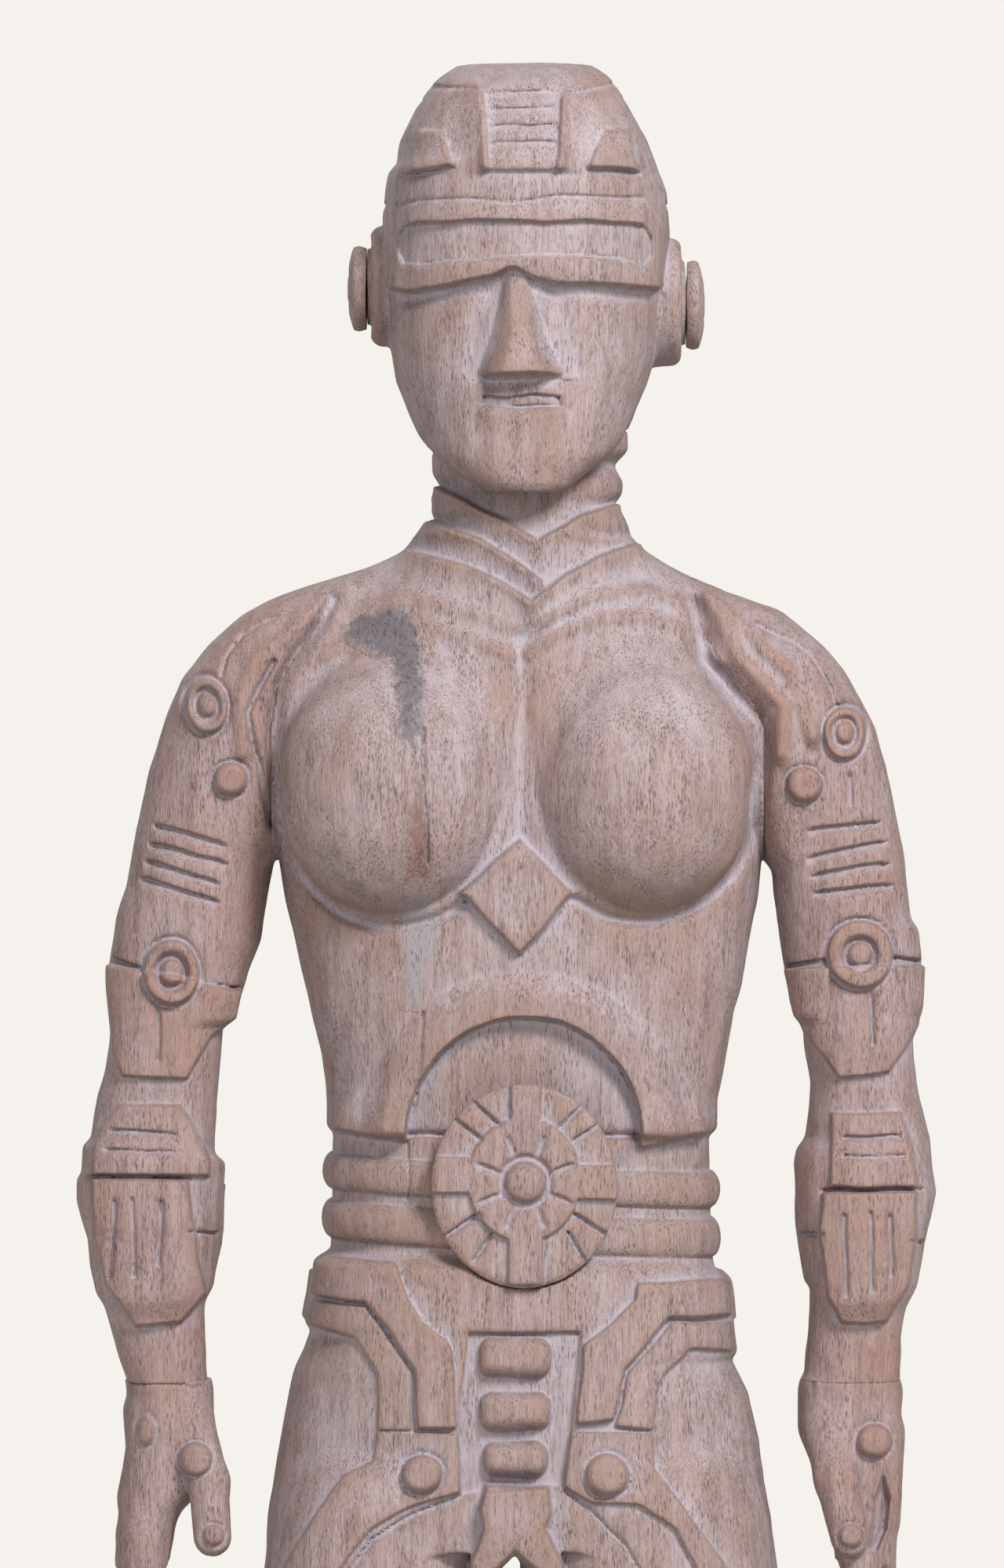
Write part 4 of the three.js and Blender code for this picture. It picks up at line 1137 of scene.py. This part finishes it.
hands = Elevation((-122, 284), (114, 370))


def carve_hands():
    """Knuckle studs, thumbnails, the hollow beside the left thumb, and a cuff edge."""
    hands.boss((-83, 343.8), (4.5, 4.5), 2.2)
    hands.boss((-95.6, 351), (2.6, 4.0), 1.0)
    hands.boss((-78.4, 324.4), (2.9, 2.9), 0.9)
    hands.boss((90.2, 348.4), (4.6, 4.6), 2.4)
    hands.boss((84.2, 324.2), (3.4, 3.2), 0.9)
    hands.plate([(92.4, 339.4), (94, 334), (93, 326), (90.6, 320), (88.4, 320.6), (89.8, 327), (90.4, 333.6)],
                -2.6, edge=1.4)
    hands.step([(-79.6, 363.6), (-83.6, 361.6), (-88.2, 364), (-102, 364)], height=-0.6, wall=0.8, reach=3)


# ------------------------------------------------------------------ materials


class Nodes:
    """A short way to write a material's node tree."""

    def __init__(self, name):
        self.material = bpy.data.materials.new(name)
        self.material.use_nodes = True
        self.tree = self.material.node_tree
        self.tree.nodes.clear()

    def add(self, kind, inputs=(), **settings):
        """A new node, its inputs fed from values or from other nodes' outputs."""
        node = self.tree.nodes.new(kind)
        for key, value in settings.items():
            setattr(node, key, value)
        for key, value in dict(inputs).items():
            self.feed(node.inputs[key], value)
        return node

    def feed(self, socket, value):
        if isinstance(value, bpy.types.NodeSocket):
            self.tree.links.new(value, socket)
        else:
            socket.default_value = value

    def math(self, operation, a, b, clamp=False):
        return self.add("ShaderNodeMath", {0: a, 1: b}, operation=operation, use_clamp=clamp).outputs[0]

    def plus(self, a, b):
        return self.math("ADD", a, b)

    def minus(self, a, b):
        return self.math("SUBTRACT", a, b)

    def times(self, a, b):
        return self.math("MULTIPLY", a, b)

    def span(self, value, low, high):
        """value from low to high as 0 to 1, clamped."""
        node = self.add("ShaderNodeMapRange", {"Value": value, "From Min": low, "From Max": high})
        return node.outputs["Result"]

    def mix(self, factor, a, b):
        node = self.add("ShaderNodeMix", data_type="RGBA")
        self.feed(node.inputs["Factor"], factor)
        self.feed(node.inputs[6], a)
        self.feed(node.inputs[7], b)
        return node.outputs[2]

    def place(self, scale, offset):
        """Object coordinates in metres, scaled to cells of so many mm across, deep and high."""
        coordinates = self.add("ShaderNodeTexCoord").outputs["Object"]
        inputs = {"Vector": coordinates, "Location": offset, "Scale": [1000 / mm for mm in scale]}
        return self.add("ShaderNodeMapping", inputs).outputs["Vector"]

    def noise(self, scale, detail=3.0, roughness=0.55, offset=(0, 0, 0), warp=0.0):
        inputs = {"Vector": self.place(scale, offset), "Scale": 1.0, "Detail": detail, "Roughness": roughness,
                  "Distortion": warp}
        return self.add("ShaderNodeTexNoise", inputs).outputs["Fac"]


def srgb(red, green, blue):
    """A colour given as 0 to 255 screen values."""
    linear = [c / 255 / 12.92 if c <= 10 else ((c / 255 + 0.055) / 1.055) ** 2.4 for c in (red, green, blue)]
    return (*linear, 1.0)


def centred(n, value, gain):
    """A 0 to 1 noise as a swing about nothing."""
    return n.times(n.minus(value, 0.5), gain)


def stain(n, colour, offset):
    """The filling's grey and brick-red patches, in bands down its length."""
    height = n.add("ShaderNodeSeparateXYZ", {0: n.add("ShaderNodeTexCoord").outputs["Object"]}).outputs["Z"]
    depth = n.add("ShaderNodeAttribute", attribute_name="depth").outputs["Fac"]
    rough = n.noise((2.0, 3, 3.6), 5, 0.72, offset, 0.8)
    height = n.plus(n.times(height, 1000), centred(n, rough, 18.0))
    inner = n.span(n.plus(depth, centred(n, rough, 12.0)), 0.6, 3.2)
    for tone, low, high, strength in (
        (srgb(104, 100, 106), 526, 566, 0.85),
        (srgb(120, 82, 72), 492, 511, 0.6),
        (srgb(158, 152, 156), 452, 488, 0.75),
    ):
        band = n.times(n.span(height, low - 2, low + 2), n.span(height, high + 2, high - 2))
        band = n.times(n.times(band, inner), strength)
        colour = n.mix(band, colour, tone)
    mottled = n.times(n.span(n.noise((1.1, 1.4, 2.2), 4, 0.7, offset, 0.5), 0.5, 0.62), inner)
    mottled = n.times(mottled, n.span(height, 494, 530))
    return n.mix(n.times(mottled, 0.55), colour, srgb(70, 65, 70))


def limed_wood(name, heart, pale, worn, lime, dark, liming=1.0, offset=(0, 0, 0), stained=False):
    """Open-grained hardwood with lime in its pores and hollows, rubbed off where it is handled, and painted
    shade in creases and beneath.
    """
    n = Nodes(name)
    fine = n.add("ShaderNodeAttribute", attribute_name="fine").outputs["Fac"]
    broad = n.add("ShaderNodeAttribute", attribute_name="broad").outputs["Fac"]
    up = n.add("ShaderNodeSeparateXYZ", {0: n.add("ShaderNodeNewGeometry").outputs["Normal"]}).outputs["Z"]

    patches = n.noise((26, 26, 42), 3, 0.6, offset)
    clouds = n.noise((7, 7, 16), 4, 0.62, offset, 0.4)
    bands = n.noise((2.4, 4, 46), 4, 0.65, offset, 0.3)
    streaks = n.noise((0.42, 0.5, 7), 3, 0.7, offset, 0.2)
    flecks = n.noise((0.3, 0.36, 1.7), 2, 0.6, offset)
    dust = n.noise((0.34, 0.34, 0.4), 2, 0.6, offset)
    cells = {"Vector": n.place((0.5, 0.6, 3.4), offset), "Scale": 1.0, "Randomness": 1.0}
    pores = n.add("ShaderNodeTexVoronoi", cells, feature="F1").outputs["Distance"]

    # the wood itself: bands and streaks of paler and darker fibre
    fibre = n.plus(n.plus(centred(n, streaks, 1.5), centred(n, bands, 1.4)), centred(n, flecks, 1.3))
    colour = n.mix(n.span(fibre, -0.6, 0.3), heart, pale)

    # worn patches show the bare, warmer wood
    rubbed = n.plus(centred(n, patches, 4.6), n.times(broad, -0.5))
    rubbed = n.plus(rubbed, n.plus(centred(n, clouds, 2.2), centred(n, streaks, 1.2)))
    colour = n.mix(n.times(n.span(rubbed, -0.3, 1.2), 0.6), colour, worn)

    # lime lies in the hollows, on ledges, and in the grain
    laid = n.plus(n.times(broad, 0.7), n.times(fine, 2.0))
    laid = n.plus(laid, n.times(n.span(up, 0.2, 0.95), 0.3))
    laid = n.plus(laid, n.plus(centred(n, clouds, 2.0), centred(n, streaks, 1.8)))
    laid = n.plus(laid, n.minus(centred(n, dust, 1.8), centred(n, patches, 1.8)))
    cover = n.times(n.span(laid, -0.3, 1.5), 0.72 * liming)
    colour = n.mix(cover, colour, lime)
    specks = n.times(n.span(dust, 0.66, 0.78), n.span(clouds, 0.3, 0.6))
    colour = n.mix(n.times(specks, 0.6), colour, srgb(212, 204, 210))
    if stained:
        colour = stain(n, colour, offset)

    # open pores: short dark dashes, fewer where the lime has filled them
    present = n.noise((5, 5, 18), 2, 0.6, offset)
    pore = n.times(n.span(pores, 0.34, 0.16), n.span(present, 0.38, 0.6))
    colour = n.mix(n.times(pore, 0.42), colour, dark)
    # painted shade, in the dark colour, in the tightest cuts, in creases and on what faces down
    tight = n.times(n.span(fine, 0.1, 0.45), n.span(up, 0.25, -0.35))
    under = n.times(n.span(up, -0.3, -0.85), 0.45)
    crease = n.times(n.span(fine, 0.3, 0.7), n.span(clouds, 0.36, 0.56))
    painted_shade = n.plus(n.times(tight, 0.6), n.times(crease, 0.7))
    painted_shade = n.math("ADD", painted_shade, under, clamp=True)
    colour = n.mix(n.times(painted_shade, n.span(dust, 0.15, 0.5)), colour, dark)

    relief = n.minus(n.times(streaks, 0.5), n.times(pore, 0.6))
    relief = n.plus(relief, n.times(dust, 0.35))
    bump = n.add("ShaderNodeBump", {"Height": relief, "Strength": 0.8, "Distance": 0.0005})
    shader = n.add(
        "ShaderNodeBsdfPrincipled",
        {
            "Base Color": colour,
            "Roughness": n.plus(n.times(cover, 0.15), 0.62),
            "Specular IOR Level": 0.3,
            "Normal": bump.outputs["Normal"],
        },
    )
    n.add("ShaderNodeOutputMaterial", {"Surface": shader.outputs[0]})
    return n.material


# each wood's dark colour serves both its open pores and its painted shade
BODY_WOOD = limed_wood(
    "limed_wood", heart=srgb(108, 90, 87), pale=srgb(170, 150, 149), worn=srgb(156, 126, 111),
    lime=srgb(186, 178, 188), dark=srgb(54, 45, 44),
)
ARM_WOOD = limed_wood(
    "worn_wood", heart=srgb(106, 86, 83), pale=srgb(168, 145, 142), worn=srgb(156, 122, 108),
    lime=srgb(184, 174, 184), dark=srgb(52, 42, 41), liming=0.9, offset=(3.1, 1.7, 0.6),
)
DOWEL_WOOD = limed_wood(
    "dowel_wood", heart=srgb(150, 120, 98), pale=srgb(190, 164, 138), worn=srgb(180, 140, 108),
    lime=srgb(190, 180, 174), dark=srgb(90, 68, 54), liming=0.5, offset=(0.7, 5.2, 2.4),
)
PUTTY = limed_wood(
    "putty", heart=srgb(108, 90, 87), pale=srgb(170, 150, 149), worn=srgb(154, 126, 112),
    lime=srgb(184, 178, 188), dark=srgb(54, 46, 45), stained=True,
)

# ------------------------------------------------------------------ carving every piece

carve_body()
carve_helmet()
carve_visor()
carve_features()
carve_head_sides()
carve_medallion()
carve_hands()
for drawing, strength in ((front, 1.45), (back, 1.3), (face, 1.2), (face_sides, 1.2), (emblem, 1.2),
                          (hands, 1.2)):
    drawing.settle(strength)


def axes_for(x, y, z, fine_z=None, step=DETAIL):
    """Sampling places along the three axes. fine_z is the stretch of height that holds carved detail."""
    low, high = fine_z or z
    return [spaced(*x, *x, step), spaced(*y, y[0], min(y[1], 12), step), spaced(*z, low, high, step)]


FILLER_SLOT = [(-27, 562), (-23, 550), (-25, 520), (-21, 500), (-20, 476), (-24, 458), (-31, 459), (-32, 478),
               (-30, 500), (-32, 520), (-34, 546), (-46, 552), (-46, 562)]
FAR = 20  # mm, a distance at which a joint no longer matters
slot_map = Elevation((-56, 440), (-10, 580), 0.5)
slot_map.height[:] = -FAR
slot_where, slot_depth, _, _ = slot_map.inside(FILLER_SLOT, 8)
slot_map.height[slot_where] = slot_depth
FILLER_BACK = -22.0


def trunk(x, y, z):
    """The carved body without its arms, with a slot for the filler and a seat for the medallion."""
    shape = carved(x, y, z, TORSO.facing_front)
    for side in (-1, 1):
        shape = np.maximum(shape, seams[side](x, z) + JOIN)
    slot = np.minimum(slot_map.read(x, z) + JOIN, FILLER_BACK + JOIN - y)
    shape = np.maximum(shape, slot)
    u = (x - MEDALLION["x"]) / (MEDALLION["half_width"] - JOIN)
    v = (z - MEDALLION["z"]) / (MEDALLION["half_height"] - JOIN)
    seat = np.minimum((1 - np.hypot(u, v)) * MEDALLION["half_width"], MEDALLION["back"] + 0.2 - y)
    return np.maximum(shape, seat)


def filler(x, y, z):
    """The part of the carved body that lies in the slot."""
    shape = carved(x, y, z, TORSO.facing_front, arm_sides=(-1,), whole=False)
    inside = np.minimum(slot_map.read(x, z) - JOIN, FILLER_BACK - JOIN - y)
    return np.maximum(shape, -inside)


def filler_marks(x, y, z):
    """How deep each place lies within the filling's outline."""
    u, v = front_view(x, y, z)
    return {"depth": slot_map.read(u, v)}


def trunk_joint(x, y, z):
    """Distance from each place on the trunk to the nearest face that is glued to another piece."""
    nearest = np.where(y < 0, np.abs(slot_map.read(x, z)), FAR)
    for side in (-1, 1):
        nearest = np.minimum(nearest, np.abs(seams[side](x, z)))
    return nearest


def arm_joint(side):
    """Distance from a place on an arm to the nearest face that is glued."""
    return lambda x, y, z: np.minimum(np.abs(seams[side](x, z)), np.abs(z - WRIST))


def arm_piece(side):
    """The part of the carved body beyond the seam and above the wrist."""
    def field(x, y, z):
        shape = carved(x, y, z, arms[side].facing_front, arm_sides=(side,), whole=False)
        return np.maximum(np.maximum(shape, JOIN - seams[side](x, z)), WRIST + JOIN - z)

    return field


carve_piece("carved_trunk", trunk, axes_for((-72, 72), (-60, 52), (23, 608), (312, 608), TRUNK_DETAIL),
            BODY_WOOD, ["trunk"], relief=front, joint=trunk_joint)
carve_piece("carved_head", head, axes_for((-46, 50), (-58, 52), (586, 703)), BODY_WOOD,
            ["head"], relief=face)
carve_piece("chest_filler", filler, axes_for((-48, -18), (-62, -16), (454, 566)), PUTTY,
            ["chest_check_filler"], relief=front, extra=filler_marks, joint=lambda x, y,
            z: slot_map.read(x, z))
carve_piece("carved_medallion", medallion, axes_for((-25, 27), (-48, -33), (386, 444)), BODY_WOOD,
            ["belt_medallion"], relief=emblem)
carve_piece("carved_plinth", plinth, axes_for((-90, 90), (-72, 64), (-2, 26), step=PLINTH_DETAIL), BODY_WOOD,
            ["plinth"])
for side, name, arm_room, hand_room, ear_room in (
    (-1, "right", (-118, -34), (-106, -70), (-45, -38)),
    (1, "left", (36, 110), (66, 102), (40.5, 48)),
):
    carve_piece(f"carved_{name}_arm", arm_piece(side), axes_for(arm_room, (-34, 34), (363, 582)), ARM_WOOD,
                [f"{name}_arm"], relief=front, joint=arm_joint(side))
    carve_piece(f"carved_{name}_hand", hand(side), axes_for(hand_room, (-24, 22), (282, 365)), ARM_WOOD,
                [f"{name}_hand"], relief=hands, joint=lambda x, y, z: z - WRIST)
    ear_axes = axes_for(ear_room, (-12, 16), (624, 658), step=EAR_DETAIL)
    carve_piece(f"carved_{name}_ear", ear_disc(side), ear_axes, BODY_WOOD, [f"{name}_ear_disc"])

# the hidden dowels and pegs keep their CAD meshes
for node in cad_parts.values():
    if not node.hide_render:
        node.data.materials.clear()
        node.data.materials.append(DOWEL_WOOD)

# ------------------------------------------------------------------ the studio


def stage_material(name, colour, roughness):
    """A plain, very faintly mottled surface."""
    n = Nodes(name)
    grain = n.noise((90, 90, 90), 2)
    shade = n.mix(n.times(grain, 0.06), colour, srgb(225, 222, 216))
    shader = n.add("ShaderNodeBsdfPrincipled", {"Base Color": shade, "Roughness": roughness})
    n.add("ShaderNodeOutputMaterial", {"Surface": shader.outputs[0]})
    return n.material


def studio():
    """A pale floor, an even pale surround, four soft lamps and the camera."""
    bpy.ops.mesh.primitive_circle_add(vertices=96, radius=3.4, fill_type="NGON", location=(0, 0, -0.0002))
    floor = bpy.context.object
    floor.name = "floor"
    floor.data.materials.append(stage_material("pale_floor", srgb(244, 241, 236), 0.8))

    world = bpy.data.worlds.new("studio")
    world.use_nodes = True
    bpy.context.scene.world = world
    tree = world.node_tree
    tree.nodes.clear()
    seen = tree.nodes.new("ShaderNodeBackground")
    seen.inputs["Color"].default_value = srgb(245, 242, 237)
    seen.inputs["Strength"].default_value = 1.0
    lit = tree.nodes.new("ShaderNodeBackground")
    lit.inputs["Color"].default_value = (1.0, 0.99, 0.98, 1)
    lit.inputs["Strength"].default_value = 0.24
    path = tree.nodes.new("ShaderNodeLightPath")
    choose = tree.nodes.new("ShaderNodeMixShader")
    out = tree.nodes.new("ShaderNodeOutputWorld")
    tree.links.new(path.outputs["Is Camera Ray"], choose.inputs[0])
    tree.links.new(lit.outputs[0], choose.inputs[1])
    tree.links.new(seen.outputs[0], choose.inputs[2])
    tree.links.new(choose.outputs[0], out.inputs[0])

    target = Vector((0, 0, 0.48))
    for name, place, size, power, colour in (
        ("key", (0.7, -1.45, 1.6), 0.5, 41, (1.0, 0.995, 0.99)),
        ("fill", (-1.3, -1.5, 0.8), 1.2, 6, (1.0, 1.0, 1.0)),
        ("top", (0.0, -0.1, 1.9), 0.8, 5, (1.0, 1.0, 1.0)),
        ("back", (-0.9, 1.7, 1.3), 1.4, 8, (1.0, 1.0, 1.0)),
    ):
        lamp = bpy.data.lights.new(name, "AREA")
        lamp.size = size
        lamp.energy = power
        lamp.color = colour
        holder = bpy.data.objects.new(name, lamp)
        bpy.context.collection.objects.link(holder)
        holder.location = place
        holder.rotation_euler = (target - Vector(place)).to_track_quat("-Z", "Y").to_euler()

    camera = bpy.data.cameras.new("camera")
    camera.sensor_width = 36
    camera.lens = 216
    camera.clip_end = 50
    holder = bpy.data.objects.new("camera", camera)
    bpy.context.collection.objects.link(holder)
    holder.location = [c * MM for c in EYE]
    holder.rotation_euler = (math.radians(90), 0, 0)
    bpy.context.scene.camera = holder
    bpy.context.scene.view_settings.view_transform = "Standard"


studio()
